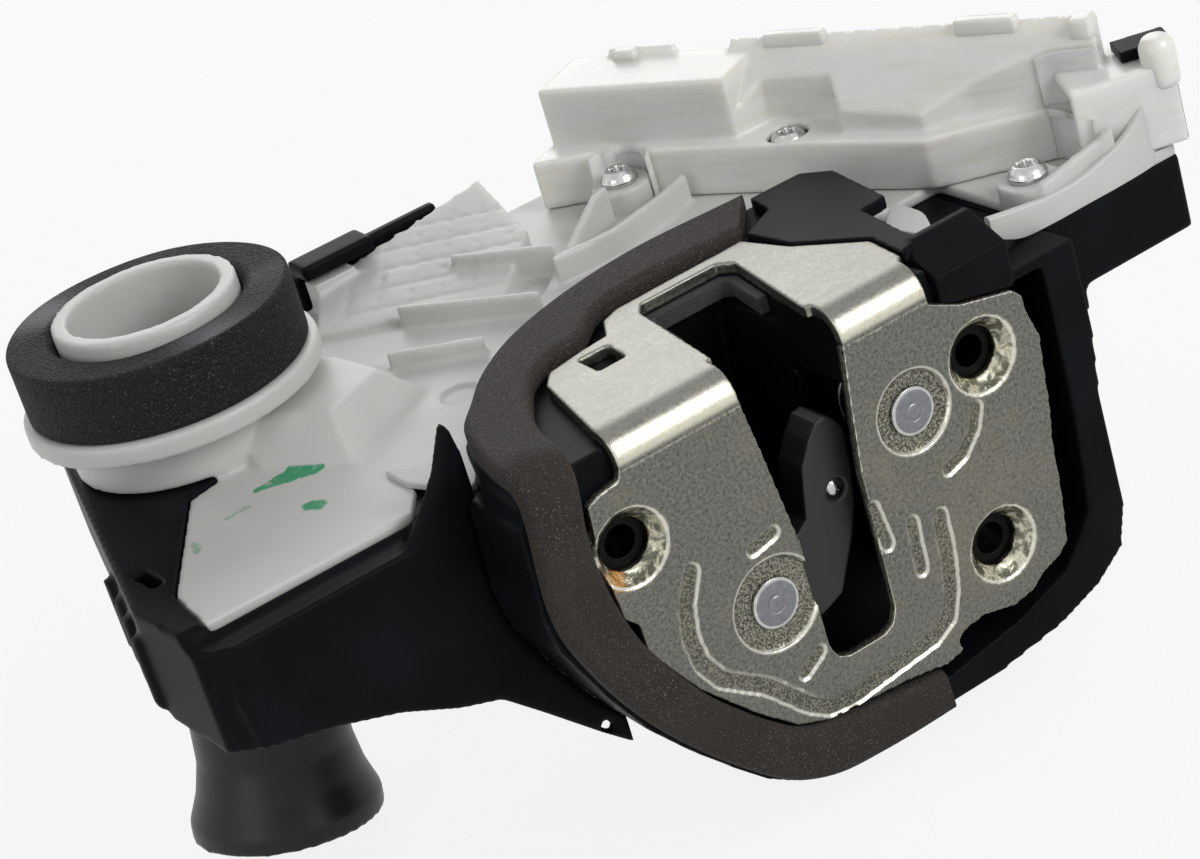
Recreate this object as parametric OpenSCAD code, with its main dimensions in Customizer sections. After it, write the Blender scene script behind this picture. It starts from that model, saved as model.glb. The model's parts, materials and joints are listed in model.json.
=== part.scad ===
// Door latch actuator: a steel-faced side-door latch, its black case base, white case cover,
// translucent gear cover, key funnel and access tube, with the working parts inside.
// Millimetres. Origin: centre of the upper right mounting hole, on the outer face of the
// striker plate. -Y is out of the striker plate, +Z is inboard, X runs along the plate's fold.

/* [Striker plate] */
// Sheet thickness of the striker plate
plate_t = 2.0; // [1.6:0.1:2.4]
// Outer radius of the plate's fold
bend_r = 5.0; // [4:0.5:7]
// Height of the flange's upper face above the origin
flange_z = 18.5; // [17:0.5:20]
// Diameter of the screw clearance holes
hole_d = 8.0; // [6.6:0.2:8.4]
// Outer diameter of the countersinks
sink_d = 12.8; // [11:0.2:13.6]
// Place of the left screw hole
hole_a = [-65.1, 1.0]; // [-70:0.1:4]
// Place of the lower screw hole
hole_c = [-4.4, -31.2]; // [-35:0.1:0]
// Depth of the pressed grooves
groove_d = 0.5; // [0.3:0.1:0.8]
// Width of the pressed grooves
groove_w = 3.2; // [2:0.2:4]
// Half width of the striker slot
slot_half = 6.2; // [5.5:0.1:7]
// Bore radius of the screw nuts
nut_r = 2.5; // [2:0.1:3]

/* [Latch mechanism] */
// Place of the fork bolt's pivot
fork_pivot = [-45.2, -19.5]; // [-46:0.1:-18]
// Place of the pawl's pivot
pawl_pivot = [-14.1, -2.5]; // [-15:0.1:-2]
// Radius of the pivot rivets' shanks
pivot_r = 3.5; // [3:0.1:4]
// Radial running clearance at every pivot
run_gap = 0.08; // [0.05:0.01:0.1]
// Clearance between pieces that move past each other
move_gap = 0.4; // [0.3:0.05:0.6]
// Thickness of the fork bolt's plastic cover
fork_t = 6.4; // [6:0.2:6.8]
// Thickness of the steel in the fork bolt and pawl
core_t = 3.4; // [3:0.2:3.8]
// Distance from the plate's inner face to the mechanism frame
pocket_d = 11.6; // [11:0.2:12.4]
// Sheet thickness of the mechanism frame
frame_t = 1.6; // [1.2:0.1:2]

/* [Latch body] */
// Wall thickness of the black mouldings
wall = 2.0; // [1.6:0.1:2.6]
// Depth of the latch body behind the plate's outer face
body_depth = 36.0; // [34:0.5:38]
// Thickness of the foam strip
foam_t = 3.2; // [2.5:0.1:4]
// Height of the foam strip's upper face
foam_top_z = 20.0; // [19:0.25:21]

/* [Case] */
// Height of the seam between case base and case cover
seam_z = 9.0; // [8:0.25:10]
// Thickness of the case cover's plate
cover_t = 2.0; // [1.6:0.1:2.4]
// Height of the underside of the case base
base_z = -8.0; // [-10:0.25:-7]
// Thickness of the case base's floor
floor_t = 2.0; // [1.6:0.1:2.6]

/* [Access tube] */
// Place of the access tube's axis
tube_at = [-94.8, 81.0]; // [-100:0.1:90]
// Outer radius of the tube
tube_r = 15.0; // [14:0.1:16]
// Wall thickness of the tube
tube_wall = 2.6; // [2:0.1:3]
// Height of the tube's rim
tube_z = 36.0; // [34.5:0.1:38]
// Radius of the flange under the foam ring
ring_flange_r = 24.2; // [23:0.1:25]
// Height of the flange's upper face
ring_flange_z = 22.9; // [21:0.1:23.5]
// Outer radius of the foam ring
ring_r = 23.0; // [22:0.1:24]
// Thickness of the foam ring
ring_t = 11.6; // [10:0.1:13]

/* [Key funnel] */
// Inner radius of the funnel's neck
funnel_neck_r = 11.0; // [10:0.1:12]
// Inner radius of the funnel's mouth
funnel_mouth_r = 14.0; // [13:0.1:15]
// Wall thickness of the funnel
funnel_wall = 2.0; // [1.5:0.1:2.5]
// Length of the funnel along its axis
funnel_len = 49.0; // [44:0.5:52]
// Tilt of the funnel's foot towards the case's end
funnel_tilt_x = 11.0; // [8:0.5:13]
// Tilt of the funnel's foot towards the plate's side
funnel_tilt_y = 6.5; // [4:0.5:8]

/* [Gear cover] */
// Direction of the gear cover's length, from +X towards -Y
cover_turn = 61.0; // [58:0.5:64]
// Height of the gear cover's ledge
ledge_z = 20.0; // [19:0.25:21]
// Height of the gear cover's tub
tub_z = 27.0; // [26:0.25:28]
// Height of the raised motor housing
motor_top_z = 31.0; // [30:0.25:33]
// Wall thickness of the gear cover
gear_wall = 1.6; // [1.2:0.1:2]

/* [Drive] */
// Gear module
gear_m = 1.0; // [0.8:0.1:1.1]
// Teeth on the wheel's pinion
pinion_teeth = 10; // [9:1:11]
// Teeth on a full turn of the lock lever's sector
sector_teeth = 40; // [36:1:40]
// Teeth on the worm wheel
wheel_teeth = 24; // [20:1:24]
// Radius of the motor's can
motor_r = 7.6; // [7:0.1:7.7]
// Length of the motor's can
motor_len = 17.0; // [15:0.5:17.5]

/* [Hidden] */
$fn = 48;
eps = 0.02;

// Depths along Y, from the plate's outer face inwards
frame_y = plate_t + pocket_d;
frame_back = frame_y + frame_t;
fork_y = plate_t + (pocket_d - fork_t) / 2;
core_y = plate_t + (pocket_d - core_t) / 2;
hub_y0 = plate_t + 0.3;
hub_y1 = frame_y - 0.3;
sink_deep = (sink_d - hole_d) / 2;
dimple_y = sink_deep + 1.0;
dimple_r = sink_d / 2 + 1.2;
recess_deep = 0.8;
channel_back = body_depth - 3;
lever_y = frame_back + wall + 3.2;
lever_t = 2.6;

// Heights
deck_z = flange_z - plate_t;
cover_z = seam_z + cover_t;
rim_z = cover_z + 0.5;
fold_z = flange_z - bend_r;
floor_z = base_z + floor_t;
ring_z0 = ring_flange_z;

// Outline of the striker plate below its fold, in X and Z
fold_x0 = -63.5;
fold_x1 = -7;
plate_outline = [
    [fold_x0, fold_z], [-64, 11.7], [-67.5, 11.2], [-69.9, 10.3], [-70.5, 2], [-69.6, -8.8],
    [-67.6, -10.8], [-67.5, -16], [-61.4, -25.7], [-53.2, -34.9], [-47.2, -40.4], [-42, -42.4],
    [-34.5, -43.1], [-26.8, -43.8], [-19.5, -45], [-16.1, -44.3], [-16.4, -42.3], [-15, -41.2],
    [-10.9, -40.7], [-5.1, -42.1], [-1.1, -41.5], [1.5, -39.6], [5.1, -38.4], [7.2, -36.8],
    [8.3, -28.2], [8.8, -19.4], [9.8, -13.6], [10.3, -7.7], [10.9, -1.8], [9.6, 2.8], [9.4, 5.8],
    [7.9, 7.4], [-1.5, 9.6], [fold_x1, 12.2], [fold_x1, fold_z]];
// Outline of the flange behind the fold, in X and Y
flange_outline = [
    [fold_x0, bend_r], [-59.6, 23.9], [-57.1, 27.2], [-50.3, 28.6], [-45.4, 29.1], [-42.8, 34],
    [-39.3, 35.6], [-22.9, 35.9], [-14.9, 36.1], [-12.1, 26.4], [-4.8, 15.2], [-5.8, 6.3],
    [fold_x1, bend_r]];
// Striker slot: its middle line, its foot and how far it flares at the fold
slot_x = -32.2;
slot_foot = -34.2;
slot_flare = 3.6;
slot_corner = 3;
function slot_points(grow) = [
    [slot_x - slot_half - slot_flare - grow, flange_z + 1],
    [slot_x - slot_half - slot_flare - grow, fold_z],
    [slot_x - slot_half - 2.4 - grow, 4.8],
    [slot_x - slot_half - 0.3 - grow, -12],
    [slot_x - slot_half - grow, slot_foot + slot_corner],
    [slot_x - slot_half - grow + 1, slot_foot + 0.9 - grow],
    [slot_x - slot_half - grow + slot_corner, slot_foot - grow],
    [slot_x + slot_half + grow - slot_corner, slot_foot - grow],
    [slot_x + slot_half + grow - 1, slot_foot + 0.9 - grow],
    [slot_x + slot_half + grow, slot_foot + slot_corner],
    [slot_x + slot_half + 0.5 + grow, -7],
    [slot_x + slot_half + 1.8 + grow, 4.6],
    [slot_x + slot_half + slot_flare - 0.6 + grow, fold_z],
    [slot_x + slot_half + slot_flare - 0.6 + grow, flange_z + 1]];
// The slot's mouth in the flange, in X and Y
mouth_points = [
    [slot_x - slot_half - slot_flare, -1], [slot_x - slot_half - 2.1, 10.2],
    [slot_x - slot_half + 0.4, 30.4], [slot_x - slot_half + 2.2, channel_back],
    [slot_x + slot_half + 4, channel_back], [slot_x + slot_half + 5.9, 30.4],
    [slot_x + slot_half + 2.1, 7.6], [slot_x + slot_half + slot_flare - 0.6, -1]];
window_points = [[-52.4, 26.2], [-47, 26], [-47.5, 20.1], [-52.5, 19.9]];

// Pressed grooves of the plate, as middle lines in X and Z
long_groove = [
    [-57.2, -7.5], [-59.6, -12.4], [-60.4, -17.4], [-59.8, -22], [-57.4, -26.2], [-50.4, -31.4],
    [-44.4, -38.2], [-41, -40.6], [-36.5, -41.2], [-31, -40.6], [-20.6, -39.6], [-17.2, -37.8],
    [-15.6, -34], [-14.6, -28.4], [-14.2, -21]];
arc_groove = [[-10.7, -14.4], [-7.5, -13.4], [-4.6, -10.6], [-3.2, -7.4]];
small_grooves = [
    [[-19.2, -19.4], [-19.6, -27.6]], [[-25.2, -13.6], [-24.2, -20.6]],
    [[-46.5, -9.4], [-42.6, -8.6]], [[-43.8, -32.8], [-40.4, -30.8]]];

// Outline of the black latch body, in X and Z
body_outline = [
    [-80.2, 12], [-80.4, 3], [-80.8, -3], [-79.8, -9.5], [-77.8, -14], [-74.8, -20.5], [-70.2, -28.7],
    [-64.6, -35.8], [-59.2, -41.8], [-53.8, -47.3], [-50.2, -49.8], [-43, -52.4], [-35.3, -53],
    [-20, -53.2], [-8, -53], [4, -51.4], [12.5, -48.6], [18.5, -44.5], [20.6, -38], [20.8, -18],
    [22, -8], [22, 9], [10, 9], [8, 12.5], [-5, 14.5], [-5, deck_z], [-77, deck_z], [-79.4, 15]];
// Plan of the body's deck under the flange and the foam
deck_outline = [
    [-79.6, plate_t], [-79, 12.5], [-77.5, 17], [-75.3, 23], [-70.4, 28.6], [-64.2, 36], [-54.3, 43.4],
    [-42.2, 47.8], [-25, 50.3], [-4, 49.3], [5.4, 48.4], [9.4, 43.5], [7, 26.5], [2.4, 25],
    [0, 8], [0, plate_t]];
// Room for the fork bolt, the pawl and the screw nuts
pocket_outline = [
    [-74.5, 8.2], [-75.5, -3], [-73.5, -10], [-69, -20], [-62, -30.5], [-53, -40.5], [-46, -46],
    [-38, -48.5], [-20, -48.8], [-4, -46.5], [7, -43], [13.5, -36], [15, -20], [15.5, 7.2],
    [-16, 7.2], [-18.6, 6.2], [-47.6, 6.2], [-50, 8.2]];
frame_outline = [
    [-72.2, 7.4], [-73, -3], [-71.2, -9], [-66.5, -19], [-60, -29.5], [-52, -38.5], [-45, -43.8],
    [-37, -46], [-20, -46.2], [-4, -44], [5, -40.5], [11.2, -34], [12.6, -20], [13, 6.6],
    [-18, 6.6], [-22, 5.4], [-44, 5.4], [-50, 7.4]];

// Outline of the fork bolt about its pivot, in the open position
fork_outline = [
    [4, -9.8], [10.3, -8.7], [13.8, -7.3], [16, -3.1], [18.2, 1], [19.9, 5.5], [21, 12], [21.4, 18],
    [20.2, 20], [18.6, 21.3], [16.9, 21], [15, 18.9], [12.6, 15.2], [11.6, 10.5], [11, 7.2], [8.8, 5.6],
    [5.5, 8.2], [2.6, 9.9], [2.4, 13], [3.4, 18], [3.6, 21.2], [2.2, 23.4], [-1.5, 23.8],
    [-5, 21.5], [-7.8, 16], [-9.2, 9], [-9.8, 2], [-9.2, -3.5], [-6.5, -7.6], [-2, -9.6]];
fork_inset = 1.4;
fork_spot = [17.4, 9.2];
fork_spot_r = 1.75;
// Outline of the pawl's arm about its pivot, held clear of the fork bolt
pawl_outline = [
    [-4.7, -3.6], [-3.1, -7.5], [-2, -11.5], [-1.5, -17], [-2, -22.5], [-3.5, -27.5], [-4.6, -30.3],
    [-2.6, -32.6], [1.8, -33], [3.4, -30], [4.2, -22], [5, -12], [5.8, 0], [0, 5.6], [-5, 0]];
pawl_hub_r = 5.9;
pawl_pin = [1.6, -14];
pawl_pin_r = 1.8;

// Foam strip: its run on the body's front face, in X and Z
foam_bend_r = 5.5;
foam_front = [
    [-79.3, foam_top_z - foam_bend_r], [-78.9, 10], [-79.6, 2], [-80, -3], [-79, -9], [-77, -13.4], [-74, -20],
    [-69.4, -28.2],
    [-63.9, -35.2], [-58.4, -41.3], [-53, -46.6], [-49.5, -49.1], [-42.6, -51.7], [-35, -52.3],
    [-20.6, -52.4], [-21, -45.2], [-28.5, -44.4], [-36, -43.8], [-43.2, -43], [-48.4, -41.2],
    [-54.5, -35.5], [-62.7, -26], [-66.8, -19], [-69, -14], [-69.4, -11], [-71.4, -8.6], [-71.8, 2],
    [-71.2, 11], [-69.5, foam_top_z - foam_bend_r]];
// Its run on the deck, in X and Y
foam_deck = [
    [-79.3, foam_bend_r + plate_t - foam_t], [-78.6, 9], [-77.2, 16], [-75, 22.5], [-70, 28.2], [-63.9, 35.5],
    [-54, 42.9], [-42, 47.2], [-25, 49.8], [-5.2, 48.8], [-6.2, 41.2], [-13.5, 36.9], [-22, 37.2],
    [-32, 38.2], [-41, 38], [-45.5, 34.4], [-48.5, 30.6], [-56, 29.4], [-60.8, 26], [-63.8, 21],
    [-66.5, 16.4],
    [-69.5, foam_bend_r + plate_t - foam_t]];
foam_slit = [-66.4, 17.4];

// Black cap beside the flange
cap_t = 2.2;
cap_outline = [
    [-13.2, 36.9], [-5.8, 41.1], [-5, 47.6], [5, 47.4], [8.4, 42.6], [6.2, 25.6], [1.2, 25.2], [-1, 8.2],
    [-5.2, 6.6], [-4.4, 15.4], [-11.7, 26.6]];

// Plan of the case base
case_outline = [
    [-120.6, 16.5], [-125.4, 20.5], [-126.6, 37], [-109.5, 106], [-60, 105.4], [-14, 104.4],
    [6, 101.5], [53, 17.5], [50.5, 9.3], [22.4, 9.3], [22.4, body_depth],
    [-81.2, body_depth], [-81.2, 17]];
// Edge of the white cover where it lies inside the black rim
rim_line = [
    [-121.4, 22.8], [-120.4, 35.2], [-105.4, 61.2], [-94.4, 64.2], [-94.2, 104.6], [-60, 105.4],
    [-14, 104.4], [6, 101.5], [53, 17.5], [50.5, 9.3], [22.4, 9.3], [22.4, body_depth],
    [-81.2, body_depth], [-82, 29], [-86.4, 22.4]];
rim_gap = 0.2;

// Front web of the case base, in X and Z, and the fin at its end
front_web = [
    [-120.6, seam_z], [-122.5, 0], [-121.4, base_z], [-110, -10.6], [-100, -14], [-91, -18.4], [-84.6, -20.6],
    [-79, -26.2], [-71, -34.6], [-66.4, -39], [-66.4, -30], [-72, -20], [-72, 11], [-78.6, 11], [-78.6, 19.5],
    [-79.4, 24], [-80.3, 24], [-83.8, 17.2], [-87.4, 12.8], [-91, seam_z]];
web_y = 16.5;
web_t = 2.2;

// Gear cover: its corner at the back and its plans along its own length
cover_corner = [6, 101];
skirt_plan = [
    [-7.5, -2], [93, -2], [95, -8], [93, -15.5], [85, -9.7], [74, -15], [66, -19.5], [41, -18.3],
    [3, -18.3], [-7.5, -22]];
tub_plan = [
    [26, -2.9], [91.6, -2.9], [92.8, -7.4], [84, -7.9], [72, -12.4], [65, -16.8], [50, -15.6],
    [46.4, -9.8], [33.6, -9.8], [30.9, -14.6], [26, -14.8]];
roof_rise = 6;
roof_lean = 35;
motor_plan = [[-6, -2.4], [30.4, -2.4], [30.4, -16], [-6, -16.2]];

// Drive, placed along the gear cover's length
motor_s = 0.4;
motor_w = 10.2;
motor_z = 4.4;
shaft_r = 1.5;
worm_r = 3.4;
worm_len = 10;
worm_s = motor_s + 27;
wheel_r = gear_m * wheel_teeth / 2;
pinion_r = gear_m * pinion_teeth / 2;
sector_r = gear_m * sector_teeth / 2;
worm_gap = 0.35;
wheel_w = motor_w + worm_r + wheel_r + gear_m * 0.8 + worm_gap;
function along(s, w) = cover_corner + s * [cos(cover_turn), -sin(cover_turn)]
                     - w * [sin(cover_turn), cos(cover_turn)];
wheel_at = along(worm_s, wheel_w);
lever_turn = 14;
lock_travel = 36;
lever_at = wheel_at - (pinion_r + sector_r) * [cos(lever_turn), sin(lever_turn)];
wheel_z0 = motor_z - 2.5;
wheel_z1 = motor_z + 2.5;
pinion_z0 = -4.5;
lock_z0 = -4.2;
lock_z1 = 0.8;
pinion_phase = lever_turn + 180 + 180 / pinion_teeth;
inside_z0 = 3;
inside_z1 = 6;
lever_shaft_r = 3;
wheel_pin_r = 2;

// Case screws: place, height of the head's seat
screws = [[-8.6, 82.5, 16], [12.45, 60.55, 17.8], [25.8, 15.2, 15]];
screw_head_r = 3.2;
screw_head_h = 2.5;
screw_r = 1.8;
screw_len = 14;
boss_r = 5.2;
post_r = 3.2;

// Contact board and connector
board_z = 15.4;
board_posts = [[26, 6.6], [26, 12], [50, 7], [66, 8], [78, 6.4]];
plug_at = [43.5, 18.5];
plug_turn = -25;
pin_rows = [-2.6, 0, 2.6];

// Outside lever
outside_at = [10, -14];
outside_pin_r = 2.5;

// Extrudes a plan between two heights, with rounded corners
module slab(points, z0, z1, r = 0) {
    translate([0, 0, z0]) linear_extrude(z1 - z0)
        if (r > 0) offset(r = r, $fn = 24) offset(delta = -r) polygon(points);
        else polygon(points);
}

// Extrudes an outline in X and Z along Y
module face(points, y0, y1) {
    translate([0, y1, 0]) rotate([90, 0, 0]) linear_extrude(y1 - y0) polygon(points);
}

// Extrudes an outline in X and Z, grown or shrunk, along Y
module grown_face(points, grow, y0, y1) {
    translate([0, y1, 0]) rotate([90, 0, 0]) linear_extrude(y1 - y0) offset(delta = grow) polygon(points);
}

// Round bar along Y
module bar(at, r, y0, y1, r_end = -1) {
    translate([at[0], y1, at[1]]) rotate([90, 0, 0])
        cylinder(h = y1 - y0, r1 = r_end < 0 ? r : r_end, r2 = r);
}

// Round post along Z
module post(at, r, z0, z1) {
    translate([at[0], at[1], z0]) cylinder(h = z1 - z0, r = r);
}

// Places a shape drawn about a pivot in X and Z
module on_pivot(at) {
    translate([at[0], 0, at[1]]) children();
}

// Places a shape along the gear cover's length
module along_cover() {
    translate([cover_corner[0], cover_corner[1], 0]) rotate([0, 0, -cover_turn]) children();
}

// Stroke of a given width along a middle line
module stroke(path, w) {
    back = [for (i = [len(path) - 1 : -1 : 0]) path[i] + [0.01, 0.01]];
    offset(r = w / 2, $fn = 20) polygon(concat(path, back));
}

// Gear outline with straight-flanked teeth
function tooth_points(teeth, m, n0, n1) = [
    for (i = [n0 : n1 - 1], k = [0 : 3])
        let (pitch = 360 / teeth, mid = i * pitch, r = m * teeth / 2,
             a = [-0.30, -0.13, 0.13, 0.30][k] * pitch, rr = k == 0 || k == 3 ? r - 1.15 * m : r + 0.85 * m)
        rr * [cos(mid + a), sin(mid + a)]];

// Cuts away everything outside a wall line and leans the cut inwards with height
module lean_cut(p, q, z0, lean) {
    run = norm(q - p);
    translate([p[0], p[1], z0]) rotate([0, 0, atan2(q[1] - p[1], q[0] - p[0])]) rotate([-lean, 0, 0])
        translate([-12, -30, -1]) cube([run + 24, 30, 30]);
}

// Round groove pressed into the plate's outer face
module pressed(path, w) {
    translate([0, groove_d, 0]) rotate([90, 0, 0]) linear_extrude(groove_d + 1) stroke(path, w);
}

// Striker plate: the steel face with its fold, flange, slot, countersinks and pressings
module striker_plate() {
    holes = [[0, 0], hole_c, hole_a];
    color("silver") difference() {
        union() {
            face(plate_outline, 0, plate_t);
            slab(flange_outline, flange_z - plate_t, flange_z);
            intersection() {
                translate([fold_x0, bend_r, fold_z]) rotate([0, 90, 0])
                    difference() {
                        cylinder(h = fold_x1 - fold_x0, r = bend_r);
                        translate([0, 0, -1]) cylinder(h = fold_x1 - fold_x0 + 2, r = bend_r - plate_t);
                    }
                translate([fold_x0, 0, fold_z]) cube([fold_x1 - fold_x0, bend_r, bend_r]);
            }
            for (h = holes) bar(h, dimple_r, plate_t - 0.5, dimple_y);
            for (h = [fork_pivot, pawl_pivot]) bar(h, 6.4, plate_t - 0.5, plate_t + 0.01);
        }
        for (h = holes) {
            bar(h, hole_d / 2, -1, dimple_y + 1);
            translate([h[0], sink_deep, h[1]]) rotate([90, 0, 0])
                cylinder(h = sink_deep + 0.02, r1 = hole_d / 2, r2 = sink_d / 2);
        }
        bar(pawl_pivot, 6.6, -1, recess_deep);
        bar(fork_pivot, 7.5, -1, recess_deep);
        for (h = [fork_pivot, pawl_pivot]) bar(h, pivot_r + 0.02, -1, plate_t + 1);
        face(slot_points(0), -1, bend_r + 1.5);
        slab(mouth_points, fold_z, flange_z + 1);
        slab(window_points, deck_z - 1, flange_z + 1);
        pressed(long_groove, groove_w);
        pressed(arc_groove, groove_w * 0.8);
        for (g = small_grooves) pressed(g, groove_w * 0.8);
    }
}

// Screw nuts: the three round threaded pillars behind the countersinks
module screw_nuts() {
    color("gray") for (h = [[0, 0], hole_c, hole_a]) difference() {
        bar(h, dimple_r - 2.4, dimple_y, frame_y);
        bar(h, nut_r, dimple_y - 1, frame_y + 1);
    }
}

// Mechanism frame: the steel sheet behind the fork bolt and pawl
module mechanism_frame() {
    color("gray") difference() {
        face(frame_outline, frame_y, frame_back);
        face(slot_points(0.2), frame_y - 1, frame_back + 1);
        for (h = [[0, 0], hole_c, hole_a]) bar(h, nut_r + 0.7, frame_y - 1, frame_back + 1);
        for (h = [fork_pivot, pawl_pivot]) bar(h, pivot_r + 0.02, frame_y - 1, frame_back + 1);
        pin_window(frame_y - 1, frame_back + 1);
    }
}

// Window for the pin between pawl and lifter over the pawl's travel
module pin_window(y0, y1) {
    w = pawl_pin_r + move_gap;
    at = pawl_pivot + pawl_pin;
    translate([at[0] - w - 2.4, y0, at[1] - w - 0.2]) cube([2 * w + 2.4, y1 - y0, 2 * w + 0.6]);
}

// Outer shape of the latch body
module body_mass() {
    intersection() {
        face(body_outline, plate_t, body_depth);
        translate([-100, 0, -80]) cube([160, 60, 80 + cover_z]);
    }
    intersection() {
        slab(deck_outline, seam_z, deck_z);
        union() {
            face(body_outline, plate_t, body_depth);
            translate([-100, body_depth - eps, cover_z]) cube([160, 40, 20]);
        }
    }
    bar([19.6, -21], 3.2, 9, 13.5);
}

// Latch body: the black moulding around the mechanism and the striker channel
module latch_body() {
    back_y = frame_back + wall;
    color("dimgray") difference() {
        union() {
            difference() {
                body_mass();
                face(pocket_outline, plate_t - 1, frame_back);
                difference() {
                    intersection() {
                        grown_face(body_outline, -wall, back_y, body_depth + 30);
                        union() {
                            translate([-100, back_y, -80]) cube([160, body_depth, 80 + seam_z]);
                            slab([for (p = deck_outline) p + [0, 0]], seam_z - 1, deck_z - 2.5, 0);
                        }
                        union() {
                            translate([-100, back_y, -80]) cube([160, body_depth + 1 - back_y, 100]);
                            translate([0, 0, 0]) linear_extrude(deck_z - 2.5) offset(delta = -wall)
                                polygon(deck_outline);
                        }
                    }
                    face(slot_points(0.4 + wall), plate_t, channel_back + wall);
                    translate([-100, body_depth, -80]) cube([160, 40, 80 + seam_z]);
                }
                translate([0, 0, cover_z - 1]) linear_extrude(deck_z - 2.5 - cover_z + 1)
                    difference() {
                        offset(delta = -wall) polygon(deck_outline);
                        translate([-100, -10]) square([160, body_depth + 10]);
                    }
            }
            bar(outside_at, 4.6, back_y - 0.5, lever_y - 0.3);
        }
        face(slot_points(0.4), plate_t - 1, channel_back);
        slab(mouth_points, fold_z - 1, deck_z + 1);
        // Room for the plate's fold
        difference() {
            translate([fold_x0 - 0.3, plate_t - 1, fold_z - 1]) cube([fold_x1 - fold_x0 + 0.6, 4, 8]);
            translate([fold_x0 - 1, bend_r, fold_z]) rotate([0, 90, 0])
                cylinder(h = fold_x1 - fold_x0 + 2, r = bend_r - plate_t - 0.05);
            translate([fold_x0 - 1, plate_t + eps, fold_z - 2]) cube([fold_x1 - fold_x0 + 2, 9, 2]);
        }
        for (h = [fork_pivot, pawl_pivot]) bar(h, 4.9, plate_t, back_y + 1);
        for (h = [[0, 0], hole_c, hole_a]) bar(h, nut_r + 0.7, frame_back - 1, back_y + 6);
        pin_window(frame_back - 1, back_y + 1);
        bar(outside_at, outside_pin_r + 0.02, frame_back + 0.4, lever_y + 1);
        // Way out for the outside lever's tail
        translate([-7.5, lever_y - 0.6, -58]) cube([20.5, lever_t + 1.2, 20]);
    }
}

// Slot pad: the textured pad around the back of the striker channel's mouth
module slot_pad() {
    color("gray") difference() {
        slab(mouth_points, deck_z - 3.2, deck_z - 0.2);
        translate([0, 0, deck_z - 5]) linear_extrude(6) offset(delta = -1.8) polygon(mouth_points);
        translate([-60, -10, deck_z - 5]) cube([60, 30, 8]);
    }
}

// Slot bumper: the rubber block at the channel's foot
module slot_bumper() {
    color("black") translate([slot_x - 3.4, frame_back + 0.6, slot_foot - 0.4]) cube([6.8, 7, 3]);
}

module fork_plan(inset) {
    offset(delta = -inset) polygon(fork_outline);
}

// Fork core: the steel inside the fork bolt
module fork_core() {
    color("gray") on_pivot(fork_pivot) difference() {
        translate([0, core_y + core_t, 0]) rotate([90, 0, 0]) linear_extrude(core_t) fork_plan(fork_inset);
        bar([0, 0], pivot_r + run_gap, 0, 20);
    }
}

// Fork cover: the plastic moulded around the fork bolt's steel
module fork_cover() {
    color("ivory") on_pivot(fork_pivot) difference() {
        union() {
            translate([0, fork_y + fork_t, 0]) rotate([90, 0, 0]) linear_extrude(fork_t) fork_plan(0);
            bar([0, 0], 5.4, hub_y0, fork_y + 0.5);
            bar([0, 0], 4.9, fork_y + 1, hub_y1);
        }
        translate([0, core_y + core_t, 0]) rotate([90, 0, 0]) linear_extrude(core_t) fork_plan(fork_inset);
        bar([0, 0], pivot_r + run_gap, 0, 20);
        bar(fork_spot, fork_spot_r, 0, core_y + 0.1);
    }
}

// Pivot rivet with its head in the plate and its foot behind the frame
module pivot_rivet(at, head_r, foot_y0, foot_t) {
    bar(at, head_r, 0.15, recess_deep);
    bar(at, pivot_r, recess_deep - 0.1, foot_y0 + 0.1);
    bar(at, 4.6, foot_y0, foot_y0 + foot_t);
}

module fork_rivet() {
    color("silver") pivot_rivet(fork_pivot, pivot_r + 0.6, frame_back, 1.4);
}

module pawl_rivet() {
    color("silver") pivot_rivet(pawl_pivot, pivot_r + 0.4, frame_back + wall + 2.7, 1.0);
}

// Coil of flat turns with two straight legs, about an axis along Y
module leg_spring(at, coil_r, wire, y0, leg_a, len_a, leg_b, len_b) {
    tall = wire * 4;
    on_pivot(at) {
        difference() {
            bar([0, 0], coil_r + wire, y0, y0 + tall);
            bar([0, 0], coil_r - wire, y0 - 1, y0 + tall + 1);
        }
        for (l = [[leg_a, len_a, 0.25], [leg_b, len_b, 0.75]])
            translate([0, y0 + tall * l[2], 0]) rotate([0, l[0], 0])
                translate([coil_r - 0.1, 0, 0]) rotate([0, 6, 0])
                    cylinder(h = l[1], r = wire * 0.8, $fn = 16);
    }
}

module fork_spring() {
    color("gray") leg_spring(fork_pivot, 6.0, 0.42, fork_y + fork_t + 0.9, 190, 9, 300, 8);
}

module pawl_spring() {
    color("gray") leg_spring(pawl_pivot, 5.0, 0.5, hub_y1 - 1.9, 40, 5, 150, 9);
}

// Pawl: the steel catch that holds the fork bolt
module pawl() {
    color("gray") on_pivot(pawl_pivot) {
        difference() {
            union() {
                face(pawl_outline, core_y, core_y + core_t);
                bar([0, 0], pawl_hub_r, hub_y0, core_y + core_t + 0.8);
                bar(pawl_pin, pawl_pin_r, core_y + 1, frame_back + wall + 2.3);
            }
            bar([0, 0], pivot_r + run_gap, 0, 20);
        }
    }
}

// Pawl lifter: the arm behind the frame that draws the pawl back
module pawl_lifter() {
    y0 = frame_back + wall + 0.3;
    color("lightgray") on_pivot(pawl_pivot) difference() {
        union() {
            bar([0, 0], 6.2, y0, y0 + 2.1);
            face([
                [-4.6, 2], [-3, -10], [-2.4, -15.6], [0, -17.4], [3.6, -17.2], [5.6, -14.6], [5.2, -8],
                [6.0, 0]], y0, y0 + 2.1);
        }
        bar([0, 0], pivot_r + run_gap, 0, 30);
        bar(pawl_pin, pawl_pin_r + 0.02, 0, 30);
    }
}

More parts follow.
